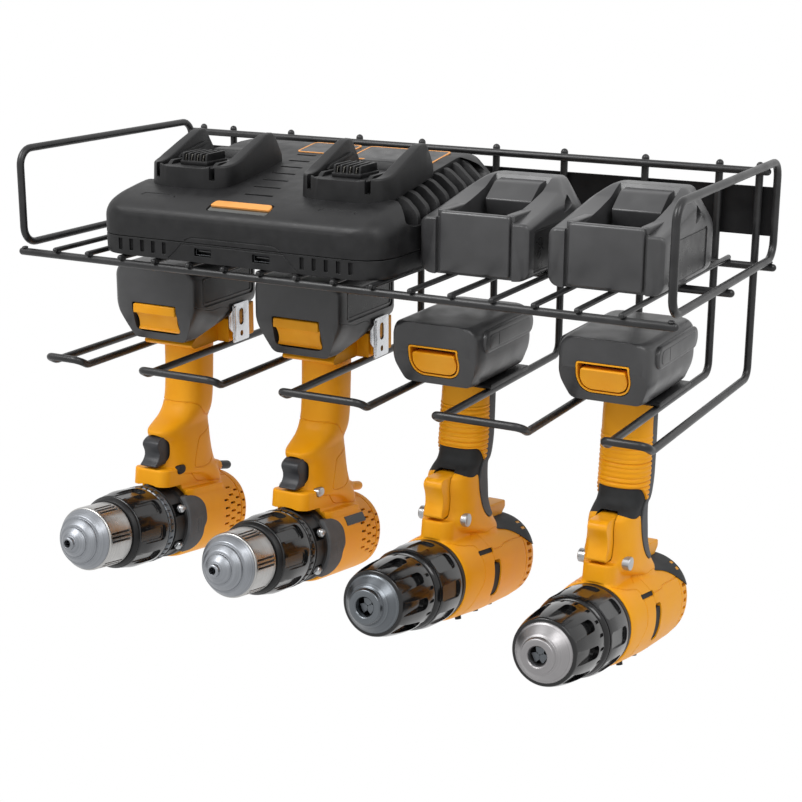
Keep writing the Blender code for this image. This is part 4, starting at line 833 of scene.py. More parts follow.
def make_clip(name, seat):
    """The belt clip, pressed from spring steel strip, and the boss that holds it."""
    plate = slab(box_outline(3.9, 23.7, 0.5, 28.2, 1.6), 33.8, 35.1, edge=0.4)
    plate = cut(plate, slab(box_outline(11.2, 16.6, 12, 24, 2.6), 30, 40),
                slab(box_outline(12.2, 15.8, 4, 8, 1.7), 30, 40))
    lip = slab("3.9 8 1, 3.9 24.5 1, -.6 22 1.2, -.6 12 1.2", 33.9, 34.8, edge=0.3)
    edge = slab(box_outline(4.6, 8.2, 2, 26.8, 1.2), 34.9, 35.9, edge=0.45)
    add(name, "steel_clip", weld(plate, lip, edge), ("spring_steel_nickel_plated", "bright_steel"), seat,
        "_belt_clip")
    add(name, "clip_post", block((28.6, 9.3, 1.3), (33.6, 18.3, 12.4), 0.8, 2), YELLOW_NYLON, seat)


def make_compact_drill(name, drop, cone_finish):
    """A compact drill with its ribbed grip and black chuck sleeve, hanging by its foot."""
    seat, barrel, pack = drill_places(name, 54.5, drop)
    tilt = seat.inverted() @ barrel
    extra = drop - 132

    def slot(top):
        return block((-6.9, -70, -85.7 - extra), (6.9, -14.5, top - extra), 2.2, 3)

    def level(edge):
        return slab(lowered(edge, extra), -40, 40)

    rows = lowered(COMPACT_COLUMN, extra, 0)
    shell = lathe("49.6 27 1, 44 28 3, 20 29.2 6, 4 30.2 6, -40.6 30.2 .4", 80, 0.93)
    tongue = slab(both_sides("13 12 1, 11 -50 9"), 18, 39.5, axis=2, edge=3)
    body = fuse([column(rows), moved(shell, tilt), moved(tongue, tilt)], 0.9, 5)
    body = cut(body, moved(lathe("49 28.2 .1, 96 28.2 .1"), tilt))
    body = cut(cut(body, level(BAND_EDGE)), slot(-50))
    body = side_grooves(body, [lowered(line, extra) for line in COMPACT_SEAMS], 0.35)
    lug = slab("8 20 1, 46 29 2, 52 34.6 1.2, 51 39.4 1.6, 8 38.6 1", -6, 6, edge=1.2)
    body = weld(body, moved(lug, tilt))
    pockets = pair("-11.4 -13.5 2.4, -2 -13.5 2.4, -1.4 11 2.4, -10.8 11 2.4", 23, 34)
    pockets += pair(box_outline(-26, -7, 15.8, 18.8, 1), 20, 34)
    body = cut(body, *[moved(pocket, tilt) for pocket in pockets])
    lines = [[(*(tilt @ Vector((0, y, z)))[1:], r) for y, z, r in corners(line)] for line in MOTOR_SEAMS]
    body = side_grooves(body, lines, 0.5)
    foot = slab("-30.4 1.8 .6, -28.9 .3 .8, 29.5 .3 1.2, 29.5 3.3 .8, -28.9 3.3 .8", -29.1, 29.1, edge=0.6)
    rails = rail_blocks(44.5, 34, 25, -54.5 + 0.38 * 84 + 3.4, 29.5)
    add(name, "foot", weld(foot, block((-14, -14, -1), (14, 14, 2), 0.4), *rails), BLACK_NYLON, seat)
    add(name, "nylon_housing", body, YELLOW_NYLON, seat, "_housing")
    lining = lathe("0 29.3 .1, 20 28.3 2, 28 27.8 .1", 80, 0.93)
    shapes = [block((low, y, z), (low + 14, y + deep, z + tall)) for low in (21, -35)
              for y, z, deep, tall in ((-12, -14, 11.2, 22), (-26.6, 15.2, 20.2, 4.2))]
    add(name, "side_recess", keep(lining, *shapes), DARK_RUBBER, barrel)
    core = column([(z, fore - 0.25, aft + 0.25, half - 0.25) for z, fore, aft, half in rows
                   if z > -97 - extra])
    add(name, "grip_core", cut(core, slot(-56)), ("rubber_dark_overmoulded", "black_plastic"), seat)

    def ripple(z):
        if z > -17 - extra * 0.5:
            return 0.75
        return 1.25 * abs(math.sin(math.pi * (z + extra * 0.6 + 56) / 3.1)) ** 0.4 - 0.15

    dense = between(between([row for row in rows if row[0] > -60 - extra], 4), 14)
    add(name, "grip_sleeve", keep(column(dense, 1, 64, ripple), level(SLEEVE_EDGE)), YELLOW_NYLON, seat)
    for x in (-14.5, 14.5):
        for ahead in (32, 6, -16):
            head = tube([(x, -ahead, -23), (x * 1.06, -ahead, -26.7)], 2.1)
            add(name, "case_screw_%s%d" % ("l" if x < 0 else "r", 40 + ahead), head, BLACK_NYLON, barrel)
    add(name, "grip_strip", keep(column(rows, 4, 64, lambda z: 0.7), level(STRIP_EDGE)), GREY_RUBBER, seat)
    make_compact_rear(name, barrel)
    case = lathe("45 26.4 .3, 52.4 26.9 .6, 54 26.2 .4, 54.1 15 .1, 82 15 .3, 82 6 .2, 86.2 6 .2", 84)
    add(name, "gear_case", case, BLACK_NYLON, barrel, "_drive")
    make_compact_collar(name, barrel)
    make_compact_chuck(name, barrel, cone_finish)
    trigger = slab(lowered("-24.4 -58.8 1, -50 -57.6 2.4, -53.4 -61 3, -48.6 -72 9, -52.8 -83 2.4, "
                           "-50 -84.2 2, -24.4 -84 1", extra), -6.5, 6.5, edge=2.2, steps=5)
    add(name, "trigger_paddle", trigger, YELLOW_ACETAL, seat, "_trigger", "_trigger")
    y, z = -(23.1 + 0.085 * drop), -(drop - 0.335 * 132)
    bar = slab([(y + 4.5 * u, z + 4.5 * v, 0.4) for u, v in ring_of(16)], -17.6, 17.6, edge=0.8, steps=2)
    add(name, "direction_bar", bar, ZINC, seat, "_direction_button", "_direction_button")
    return pack


def make_compact_rear(name, barrel):
    """The rear of the motor: a slotted yellow cap under a grey rubber spine."""
    cap = lathe("-40.9 30 .4, -54 29.4 3, -60 26.6 3.4, -63.2 20 2.4, -63.4 0 0", 80, 0.93)
    slots = vent_rows([(-51, -44.6, (-36, -26, -16, -6, 4, 14, 24))], 24, 33, 1.15)
    add(name, "end_cap", cut(cap, *slots), YELLOW_NYLON, barrel, "_rear_cap")
    spine = lathe("-8 30.7 .4, -50 30.6 3, -57 29 3, -61.4 26 3, -63.9 20 2", 80, 0.93)
    spine = keep(spine, slab("12 27 2, 30 24 6, 48 14 6, 56 10 3, 70 10 .1, 70 45 .1, 12 45 .1", -40, 40))
    notches = [turned(block((-1.2, 46, 27), (1.2, 56, 33), 0.5, 2), angle) for angle in (34, 44, -34, -44)]
    add(name, "rubber_spine", cut(spine, *notches), DARK_RUBBER, barrel)


def make_compact_collar(name, barrel):
    """The polished clutch collar with a ring of sunk grips and a rounded lip."""
    body = lathe("54.4 26.4 .5, 55.6 27.4 .6, 74 27.4 3, 80.6 26.4 1.2, 84.6 25 1.4, 86 23.4 .6", 126,
                 bore=15.4)
    body = cut(body, *around(slab(both_sides("5.2 -81 2.4, 5.6 -58.6 3.4"), 25.8, 30, axis=2, steps=5), 9,
                             0.1))
    body = cut(body, lathe("82.2 30 .1, 83 30 .1", 108, bore=24.6))
    add(name, "clutch_collar", body, POLISHED, barrel, "_clutch_ring", "_clutch_ring")


def make_compact_chuck(name, barrel, finish):
    """The black chuck sleeve, its grips open to the front, over a turned cone with three jaws."""
    sleeve = lathe("86.4 23 .5, 87.6 24 .8, 100 24.2 5, 116 22.6 6, 124 20.8 .6, 125 20.2 .5", 126)
    scoop = slab(both_sides("3.9 -97 3.6, 4.4 -128 .3"), 20.6, 30, axis=2, steps=5)
    rib = slab(both_sides("1 -95 .9, 1 -89 .9"), 23, 30, axis=2)
    sleeve = cut(cut(sleeve, *around(scoop, 9, 0.2)), *around(rib, 18, 0.2))
    sleeve = weld(sleeve, lathe("110 20.4 .3, 123.6 18.9 .5", 96))
    add(name, "chuck_sleeve", sleeve, POLISHED, barrel, moves="_chuck")
    cone = lathe("120 18.6 .3, 125.4 18.6 .8, 126.4 17.2 .6, 132.2 12.2 1.6, 132.6 11.2 .3, 135.6 10.6 .8, "
                 "135.8 6.6 .7, 134.4 5.8 .4, 122 5.7 .2", 108)
    add(name, "chuck_cone", cone, (finish, "dark_metal"), barrel, "_chuck", "_chuck")
    jaw = slab("-2.1 .6 .2, 0 .25 .1, 2.1 .6 .2, 3.1 4.6 .6, -3.1 4.6 .6", -131, -121, axis=1)
    add(name, "chuck_jaws", joined(around(jaw, 3)), ("steel_turned_blackened", "dark_metal"), barrel,
        moves="_chuck")


# Packs

# y, half width, height of the shoulder, half width and height of the top
LARGE_ROWS = ("-40 28.6 30 26 33, -38.6 31.6 30.6 29.4 34.6, -35 33 31 30.6 35.4, 10 33 40 29.2 45.2, "
              "16 33 38.5 26 48.6, 24 33 34.4 22.4 52.6, 30 33 33 21.6 53, 35 32.8 32 20.8 52.6, "
              "38.4 31.8 31 19.8 51.6, 40 29 30.4 17.6 48.8")
SLIM_ROWS = ("-42 27 25.6 22 39, -40.4 30 26 24.4 40.2, -36 31 26.2 25 40.5, 28 31 26 23.8 40.5, "
             "36 30.2 25.6 22 40.1, 40 28.6 25.2 19.6 38.6, 42 25 24.8 16.4 35.4")
SPARE_ROWS = ("-46 33.6 31 31.6 33.4, -44.6 35.8 31.6 33.4 34.6, -41 36.2 32 33.6 35, 10 36.2 40 32 45.4, "
              "18 36.2 38 28.6 49, 27 36.2 34.2 24.2 52.6, 34 36.2 33 23 53, 42 35.8 31 22 52.4, "
              "46 32.8 30.4 20 49.4")


def pack_shell(rows, curve):
    """The case of a pack, upright, with its latch end toward +Y and its rails on top."""
    foot, low, mid, side, top_edge, edge = curve
    return loft([(y, half - foot, 0, low, half, mid, side, half, shoulder, top_edge, top_half, top, edge)
                 for y, half, shoulder, top_half, top in corners(rows)], 3, 4)


def cut_rails(case, bed, neck, rail, floor, ends, terminals):
    """Cut the bed, the grooves and the terminal slots that the foot slides into."""
    case = cut(case, slab(bed, -neck, neck))
    case = cut(case, block((-rail, ends[0], floor - 0.9), (rail, ends[1], floor + 4)))
    return cut(case, *[block((x - 1.1, terminals[0], floor - 9), (x + 1.1, terminals[1], floor + 1), 0.3)
                       for x in (-8, -4, 0, 4, 8)])


def make_heavy_pack(name, matrix):
    """The tall pack of a heavy drill: shield-shaped end, yellow latch and sunk side panels."""
    case = cut_rails(pack_shell(LARGE_ROWS, (5, 3, 5.4, 3.6, 4.5, 3.2)), "-42 24 .1, 11.2 24 1, 25.6 55 .1, "
                     "-42 55 .1", 19.5, 22, 24, (-44, 10.2), (-22, 8.2))
    case = cut(case, slab("41 27 1, 32.5 56 .1, 60 56 .1, 60 27 .1", -40, 40))
    case = cut(case, *pair(box_outline(-34, 29, 6.5, 28, 3), 31.9, 36))
    case = cut(case, slab(both_sides("18.2 26.4 1, 18.6 46 2.4, 14.6 47.6 2"), 26, 45, axis=1))
    case = side_grooves(case, ["38 26 0, 20 31.5 6, 2 31 8, -8 38 6, -38 34.5 0"], 0.35)
    add(name, "case", case, PACK_CASE, matrix, "")
    frames = [cut(outer, inner) for outer, inner in zip(
        pair(box_outline(-32.6, 27.6, 8, 26.6, 2.4), 31.4, 32.5, edge=0.35),
        pair(box_outline(-31.4, 26.4, 9.2, 25.4, 1.8), 25, 40))]
    add(name, "panel_frame", joined(frames), PACK_CASE, matrix)
    add(name, "side_film", joined(pair(box_outline(-31.5, 26.5, 9.1, 25.5, 1.8), 31.5, 32.05)), PACK_FILM,
        matrix)
    latch = slab(both_sides("17.2 27.3 1.2, 17.4 33.4 2, 15.4 40 6, 17.4 46.4 1.2"), 31, 40.4, axis=1,
                 edge=0.8)
    latch = cut(latch, slab("41.8 33.6 .5, 37 33.6 1.4, 33.6 45 1.2, 36.4 48 .5, 44 48 .5", -20, 20))
    add(name, "latch_tab", latch, YELLOW_ACETAL, matrix, "_latch", "_latch")


def make_slim_pack(name, matrix):
    """The slim pack of a compact drill: rounded case, raised side panels and a framed latch."""
    case = cut_rails(pack_shell(SLIM_ROWS, (5, 3, 5.4, 3.6, 4.5, 3.2)), "-44 25 .1, 10 25 1, 16.8 42.5 .1, "
                     "-44 42.5 .1", 14.5, 17, 25, (-46, 9), (-24, 7))
    case = cut(case, slab("42.6 17 2, 33 43 .1, 60 43 .1, 60 17 .1", -40, 40))
    case = cut(case, slab("-17 14.2 1.4, 17.6 14.2 1.4, 18.2 27.6 5.4, 13.2 35.2 4.4, -13.2 35.2 4.4, "
                          "-18.2 27.6 5.4", 29, 50, axis=1))
    add(name, "case", case, PACK_CASE, matrix, "")
    panels = pair(box_outline(-40.6, 33, 3.4, 17.6, 6.8), 28, 32.7, edge=1.5, steps=6)
    panels += [cut(grip, line) for grip, line in zip(
        pair(box_outline(-36, 28.4, 6.2, 14.8, 4.2), 32.2, 33.1, edge=0.4, steps=6),
        pair(box_outline(14, 14.8, 5, 16, 0.3), 32.8, 35))]
    add(name, "side_grips", joined(panels), PACK_CASE, matrix)
    rim = slab("-16.8 14.6 1.2, 17.2 14.6 1.2, 17.8 27.5 5.2, 12.8 34.7 4.2, -12.8 34.7 4.2, -17.8 27.5 5.2",
               30, 42, axis=1)
    hollow = slab("-15.8 15.6 .9, 16.1 15.6 .9, 16.7 27.2 4.8, 12.1 33.6 3.8, -12.1 33.6 3.8, -16.7 27.2 4.8",
                  20, 50, axis=1)
    slope = slab("42.3 17 .1, 33.2 42 .1, 60 42 .1, 60 10 .1, 42.3 10 .1", -40, 40)
    add(name, "latch_frame", cut(cut(rim, hollow), slope), YELLOW_ACETAL, matrix)
    latch = slab("-14 18.6 1.2, 14.6 18.6 1.2, 15.6 27 4.6, 11.5 32.7 3.6, -11.5 32.7 3.6, -15.6 27 4.6", 33,
                 42, axis=1, edge=0.8)
    latch = cut(latch, slab("42.9 18 .1, 39.5 24 4, 35.6 34 .1, 60 34 .1, 60 10 .1", -40, 40))
    add(name, "latch_tab", latch, YELLOW_ACETAL, matrix, "_latch", "_latch")


def make_spare_pack(name):
    """A spare pack on the shelf, its plain end to the front and its rails up."""
    low, high = CAD[name]
    matrix = Matrix.Translation(((low.x + high.x) / 2, (low.y + high.y) / 2, low.z))
    case = cut_rails(pack_shell(SPARE_ROWS, (4, 2.4, 4.4, 3.2, 3.6, 2.6)), "-48 24 .1, 13 24 1, 29 56 .1, "
                     "-48 56 .1", 19.5, 22, 24, (-50, 12), (-28, 8))
    case = cut(case, slab(box_outline(-25.5, 25.5, -1, 60, 0.1), -50, -43.6, axis=1))
    case = cut(case, *pair(box_outline(-38, 30, 4.5, 30.5, 2.4), 35.2, 40))
    case = cut(case, *pair("6 34.5 2, 24 38 2, 24 44 3, 10 41.5 3", 27, 40))
    case = cut(case, slab(both_sides("16.6 28 1, 17.2 46 2.4"), 34, 50, axis=1))
    add(name, "case", case, PACK_CASE, matrix, "")
    panel = slab(both_sides("23.4 1.2 2, 23.4 38.6 2.4"), -45.9, -40, axis=1, edge=1.6, steps=5)
    add(name, "front_panel", panel, PACK_CASE, matrix)
    strips = [block((low_x, -43, 34), (low_x + 6, 8, 39.2), 0.9, 3) for low_x in (19.6, -25.6)]
    strips.append(slab("3 40 1, 17 49.5 2, 28 50.5 1, 28 36 .3, 6 30 .3", -15.5, 15.5, edge=0.8))
    add(name, "rail_strips", joined(strips), PACK_CASE, matrix)
    add(name, "side_film", joined(pair(box_outline(-36.6, 28.6, 6, 29, 1.8), 35, 35.6)), PACK_FILM, matrix)
    latch = slab(both_sides("15.8 28.9 1.2, 16 46.2 1.6"), 40, 46.5, axis=1, edge=0.8)
    add(name, "latch_tab", latch, YELLOW_ACETAL, matrix, "_latch", "_latch")


# Charger

# y, half width, half width of the deck, height of the side, height of the deck
COVER_ROWS = corners(
    "-87 86 82 21 25.6, -86.2 90.4 87 23.4 28.2, -84.6 95.4 91 25.2 30.6, -79.2 101.6 95.4 27.6 33.8, "
    "-73 104.4 96.4 28.8 36.2, -64 105.8 96.2 30.2 38.8, -20 106 93.4 36.2 46.4, 34.8 106 90.1 42 54.1, "
    "58 106 88 42 57.2, 70 105.2 87.4 41.2 57.4, 80 102.6 86 40 56.2, 85.4 98.4 83 38 53.4, 87 94 79 36 50")
PORT_X = (-21.5, 21.5)
DOCK_FLOOR = 55.5
# y, half width, half width of the well, rise of the rim over the dock's floor
DOCK_ROWS = ("-55 16 12 -1.6, -54 20 16 -.6, -51.4 25.6 20 0, -47 29.4 22.5 .2, -40 31.4 22.5 1.2, "
             "-34 32 22.5 3.2, -10 32 22.9 12.4, 2 31.6 23.6 16, 6 31.4 24.2 16, 12 31 24.6 9, 17 30 24.6 2")


def cover_shape(bottom, inset=0):
    """The charger's smooth outer form above a level."""
    return loft([(y, wide - inset, bottom, 0.5, wide - inset, side - inset / 2, 5, narrow - inset,
                  deck - inset, 4) for y, wide, narrow, side, deck in COVER_ROWS], 4, 5)


def deck_at(y):
    """Height of the charger's deck at a place along it."""
    for low, high in zip(COVER_ROWS, COVER_ROWS[1:]):
        if low[0] <= y <= high[0]:
            return low[4] + (y - low[0]) / (high[0] - low[0]) * (high[4] - low[4])
    raise ValueError("no deck there")


def deck_slope(low_y, high_y):
    """The tilt of the deck between two places along it."""
    return Matrix.Rotation(math.atan2(deck_at(high_y) - deck_at(low_y), high_y - low_y), 4, 'X')


def make_charger():
    """The twin charger: base with ports and vents, cover with slots, louvres, badge and labels."""
    low, high = CAD["charger_base"]
    place = Matrix.Translation(((low.x + high.x) / 2, (low.y + high.y) / 2, low.z))

    def part(piece, bm, finish, matrix=place, nodes=()):
        put(piece, bm, finish, matrix, "charger", nodes)

    def arch_groove(body):
        arch = corners("-48 1 0, -42 6 3, -34 15.5 9, 34 15.5 9, 42 6 3, 48 1 0")
        spots = drape(body, [(p.x, -120, p.y) for p in rounded(arch, 6, closed=False)], (0, 1, 0), 1.5)
        return cut(body, tube(spots, 0.5, 8))

    base = loft([(y, wide - 1.2, 0, 0.8, wide - 0.2, 2, 0.8, wide, 11.9, 0.5)
                 for y, wide, *rest in COVER_ROWS], 4, 4)
    base = cut(base, *[slab(box_outline(x - 6.4, x + 6.4, 4, 9.2, 0.8), -90, -79, axis=1) for x in PORT_X])
    base = cut(base,
               *[block((sign * (50.9 + 8.5 * k) - 1.6, -90, 3), (sign * (50.9 + 8.5 * k) + 1.6, -85.2, 10.6),
                       0.3) for sign in (1, -1) for k in range(5)])
    base = arch_groove(cut(base, block((-11, 82, 2.6), (11, 90, 13))))
    part("charger_skirt", base, CHARGER_CASE, nodes=["charger_base"])
    shells = [cut(slab(box_outline(x - 6, x + 6, 4.4, 8.8, 0.6), -85.6, -79.4, axis=1),
                  slab(box_outline(x - 5.5, x + 5.5, 4.9, 8.3, 0.4), -90, -80, axis=1)) for x in PORT_X]
    part("charger_port_shells", joined(shells), ("screw_steel_blackened", "bright_steel"))
    tongues = [block((x - 4.6, -84.6, 6.6), (x + 4.6, -80, 7.6), 0.2) for x in PORT_X]
    part("charger_port_tongues", joined(tongues), ("abs_dark_grey_moulded", "black_plastic"))
    cover = arch_groove(cover_shape(12.4))
    cover = cut(cover, *[moved(block((0.5 * k - 10.5, -1.3, -4), (10.5 - 0.5 * k, 1.3, 6), 1, 3),
                               Matrix.Translation((1 - 3.2 * k, y, deck_at(y) - 0.6)))
                         for k, y in enumerate(range(-56, 49, 15))])
    window = both_sides("21.5 -69.5 1.6, 22.5 -74.4 1.6, 22.5 -81.6 1.8")
    cover = cut(cover, slab(window, 32, 60, axis=2))
    for x in (-66, 66):
        lamp = [(x - 13, -71, 0), (x - 11.5, -68, 0.8), (x + 11.5, -68, 0.8), (x + 13, -71, 0)]
        spots = drape(cover, [(p.x, p.y, 120) for p in rounded(lamp, 3, closed=False)], (0, 0, -1), 1.5)
        cover = cut(cover, tube(spots, 0.7, 8))
    cover = cut(cover, *pair("-56 31 4, -42 45 6, 50 60 6, 72 50 5, 66 40 4, -44 27 5", 86, 120))
    part("charger_lid", cover, CHARGER_CASE, nodes=["charger_cover"])
    slats = []
    for k in range(9):
        turn = Matrix.Translation((0, -44 + 13 * k, 0)) @ Matrix.Rotation(math.radians(-14), 4, 'X')
        slats += [moved(block((low_x, -1.9, 10), (low_x + 60, 1.9, 70), 1.2, 2), turn)
                  for low_x in (60, -120)]
    louvres = cut(keep(cover_shape(20, 1.2), *slats), block((-84, -90, 0), (84, 90, 80)))
    part("charger_louvres", louvres, CHARGER_CASE)
    slope = deck_slope(-80, -70)
    part("charger_badge", slab(both_sides("21 1.4 2.6, 21.8 -5 1"), -1.4, 1, axis=2, edge=0.4),
         ("vinyl_film_orange", "yellow_plastic"),
         place @ Matrix.Translation((0, -71.8, deck_at(-71.8) - 0.3)) @ slope)
    part("charger_lamp_window", slab(both_sides("21.6 2.4 .6, 21.6 -2.6 1.4"), -1.4, 0.4, axis=2),
         ("acrylic_smoked_window", "black_plastic"),
         place @ Matrix.Translation((0, -78.4, deck_at(-78.4) - 1)) @ slope)
    frames, films = [], []
    for x, y, half_x, half_y in ((-11, 53, 19, 13), (45, 50, 31, 16)):
        turn = Matrix.Translation((x, y, deck_at(y) + 0.4)) @ deck_slope(36, 56)
        inner = box_outline(1.2 - half_x, half_x - 1.2, 1.2 - half_y, half_y - 1.2, 2.2)
        border = slab(box_outline(-half_x, half_x, -half_y, half_y, 3), -0.6, 0.12, axis=2)
        frames.append(moved(cut(border, slab(inner, -2, 2, axis=2)), turn))
        films.append(moved(slab(inner, -0.6, 0.05, axis=2), turn))
    part("charger_label_border", joined(frames), ("vinyl_film_orange", "yellow_plastic"))
    part("charger_label_film", joined(films), ("vinyl_film_black", "charger_black"))
    refinish("charger_board", "fibreglass_board_green")
    for side, x in (("left", -57), ("right", 57)):
        make_dock(side, place @ Matrix.Translation((x, 0, 0)))


def make_dock(side, place):
    """One docking tower with its wings, guide rails and contact comb."""
    rows = []
    for y, wide, inner, rise in corners(DOCK_ROWS):
        low, top = deck_at(y) - 2, DOCK_FLOOR + rise
        rows.append((y, wide, low, 0.5, wide - (top - low) * 0.06, top, 1.6, inner, top - 0.2, 1, inner,
                     DOCK_FLOOR - 1.8, 0.6))
    slots = [block((x - 1.75, -58, DOCK_FLOOR - 9.3), (x + 1.75, -4, DOCK_FLOOR + 20), 0.3)
             for x in (-20.8, 20.8)]
    put("dock_tower_" + side, cut(loft(rows, 3, 4), *slots), CHARGER_CASE, place, "charger", ["dock_" + side])

    def raised(text):
        return [(y, DOCK_FLOOR + z, r) for y, z, r in corners(text)]

    rails = pair(raised("-46 -2 .6, -42 .6 .8, 8 .8 .8, 12 -2 .6"), 16, 18.9, edge=0.4)
    rails += pair(raised("-30 .5 .4, -26 3 .8, 2 8 1, 4 6.2 .8, -20 1 .4"), 20.6, 23.4, edge=0.4)
    rails.append(slab(raised("0 -2 .4, 2 3.2 .8, 12 3.6 1, 14 -2 .4"), -15, 15, edge=0.6))
    put("dock_guides_" + side, joined(rails), CHARGER_CASE, place, "charger")
    low, high = CAD["dock_contacts_" + side]
    depth, start = high.y - low.y, low.y - place.translation.y
    comb = [(start + 1, DOCK_FLOOR, 0.2), (start + 2, DOCK_FLOOR + 5.8, 0.8),
            (start + depth - 2, DOCK_FLOOR + 6, 0.8), (start + depth - 1, DOCK_FLOOR, 0.2)]
    bodies = [block((-10.4, start, DOCK_FLOOR - 1.8), (10.4, start + depth, DOCK_FLOOR + 0.9), 0.5, 2)]
    bodies += [slab(comb, x - 0.75, x + 0.75, edge=0.25) for x in (-9, -4.5, 0, 4.5, 9)]
    put("dock_comb_" + side, joined(bodies), BLACK_NYLON, place, "charger", ["dock_contacts_" + side])
    blade = [(start + y, z, r) for y, z, r in raised("2.4 .6 .2, 3.4 4.6 .6, 14 4.6 .6, 14 .6 .2")]
    blades = [slab(blade, x - 0.35, x + 0.35) for x in (-7.9, -3.4, 1.1, 5.6)]
    put("dock_blades_" + side, joined(blades), ("bronze_tin_plated", "bright_steel"), place, "charger")


# Settings, operators and panel

def colour_property(name, description, code):
    """A colour that a user may change."""
    return FloatVectorProperty(name=name, description=description, subtype='COLOR', size=4, min=0, max=1,
                               default=hex_colour(code))


def length_property(name, description, default):
    """A size that a user may change, in metres."""
    return FloatProperty(name=name, description=description, default=default, unit='LENGTH')


class RackSettings(bpy.types.PropertyGroup):
    """Sizes of the wire frame."""
    wire: length_property("Wire", "Diameter of the frame wire", 0.005)
    cross_wire: length_property("Shelf wire", "Diameter of the shelf's cross wires", 0.0035)


class DrillSettings(bpy.types.PropertyGroup):
    """How far each drill's barrel hangs below its pack."""
    drop_1: length_property("Drop 1", "Seat to barrel of drill 1", 0.127)
    drop_2: length_property("Drop 2", "Seat to barrel of drill 2", 0.1285)
    drop_3: length_property("Drop 3", "Seat to barrel of drill 3", 0.132)
    drop_4: length_property("Drop 4", "Seat to barrel of drill 4", 0.146)


class ColourSettings(bpy.types.PropertyGroup):
    """Main colours of the finishes."""
    wire: colour_property("Wire", "Powder coat of the wires", "#121213")
    plate: colour_property("Plate", "Powder coat of the back plate", "#0E0E0F")
    charger: colour_property("Charger", "Charger case", "#101011")
    pack: colour_property("Pack", "Battery pack cases", "#343435")
    yellow: colour_property("Yellow", "Housings, latches and triggers", "#E79A0B")


class StageSettings(bpy.types.PropertyGroup):
    """The floor and the lights."""
    floor_drop: length_property("Floor", "How far the floor is below the origin", 0.62)
    sky: FloatProperty(name="Sky light", description="Strength of the even light", default=0.62, min=0)
    key: FloatProperty(name="Key light", description="Power of the main lamp in watts", default=26, min=0)
    floor_colour: colour_property("Floor colour", "Colour of the floor's paper", "#F4F4F4")
    lens: FloatProperty(name="Lens", description="Focal length in millimetres", default=74.578, unit='CAMERA')


class DRILLRACK_OT_materials(bpy.types.Operator):
    """Make every finish"""
    bl_idname = "drillrack.materials"
    bl_label = "Finishes"

    def execute(self, context):
        make_materials(context.scene.drillrack_colours)
        return {'FINISHED'}


class DRILLRACK_OT_rack(bpy.types.Operator):
    """Bend and weld the wire frame"""
    bl_idname = "drillrack.rack"
    bl_label = "Wire rack"

    def execute(self, context):
        make_rack(context.scene.drillrack_rack)
        return {'FINISHED'}


class DRILLRACK_OT_charger(bpy.types.Operator):
    """Build the twin charger on the shelf"""
    bl_idname = "drillrack.charger"
    bl_label = "Twin charger"

    def execute(self, context):
        make_charger()
        return {'FINISHED'}


class DRILLRACK_OT_spare_packs(bpy.types.Operator):
    """Build the two spare packs on the shelf"""
    bl_idname = "drillrack.spare_packs"
    bl_label = "Spare packs"

    def execute(self, context):
        for number in (1, 2):
            make_spare_pack("spare_pack_%d" % number)
        return {'FINISHED'}


class DRILLRACK_OT_heavy_drills(bpy.types.Operator):
    """Build the two heavy drills with their packs"""
    bl_idname = "drillrack.heavy_drills"
    bl_label = "Heavy drills"

    def execute(self, context):
        drops = context.scene.drillrack_drills
        for name, drop, nub, band in (("drill_1", drops.drop_1, BLACK_NYLON, "steel_turned_blackened"),
                                      ("drill_2", drops.drop_2, YELLOW_NYLON,
                                       "polycarbonate_black_polished")):
            make_heavy_pack(name + "_pack", make_heavy_drill(name, drop / MM, nub, band))
        return {'FINISHED'}


class DRILLRACK_OT_compact_drills(bpy.types.Operator):
    """Build the two compact drills with their packs"""
    bl_idname = "drillrack.compact_drills"
    bl_label = "Compact drills"

    def execute(self, context):
        drops = context.scene.drillrack_drills
        for name, drop, cone in (("drill_3", drops.drop_3, "steel_turned_blackened"),
                                 ("drill_4", drops.drop_4, "aluminium_turned_satin")):
            make_slim_pack(name + "_pack", make_compact_drill(name, drop / MM, cone))
        return {'FINISHED'}


class DRILLRACK_OT_stage(bpy.types.Operator):
    """Set the floor, the lights and the camera"""
    bl_idname = "drillrack.stage"
    bl_label = "Stage"

    def execute(self, context):
        make_stage(context.scene.drillrack_stage)
        make_camera(context.scene.drillrack_stage)
        return {'FINISHED'}


# Stage

LAMP_TARGET = Vector((0, -0.1, -0.05))
CAMERA_PLACE = (0.5084, -1.0453, 0.1736)
CAMERA_TURN, CAMERA_RISE, CAMERA_ROLL = (math.radians(angle) for angle in (27.98, 15.88, 0.256))


def add_lamp(name, place, size, power):
    """A square soft lamp aimed at the rack."""
    lamp = bpy.data.lights.new(name, 'AREA')
    lamp.shape = 'RECTANGLE'
    lamp.size = lamp.size_y = size
    lamp.energy = power
    item = linked(name, lamp)
    item.location = place
    item.rotation_euler = (LAMP_TARGET - Vector(place)).to_track_quat('-Z', 'Y').to_euler()


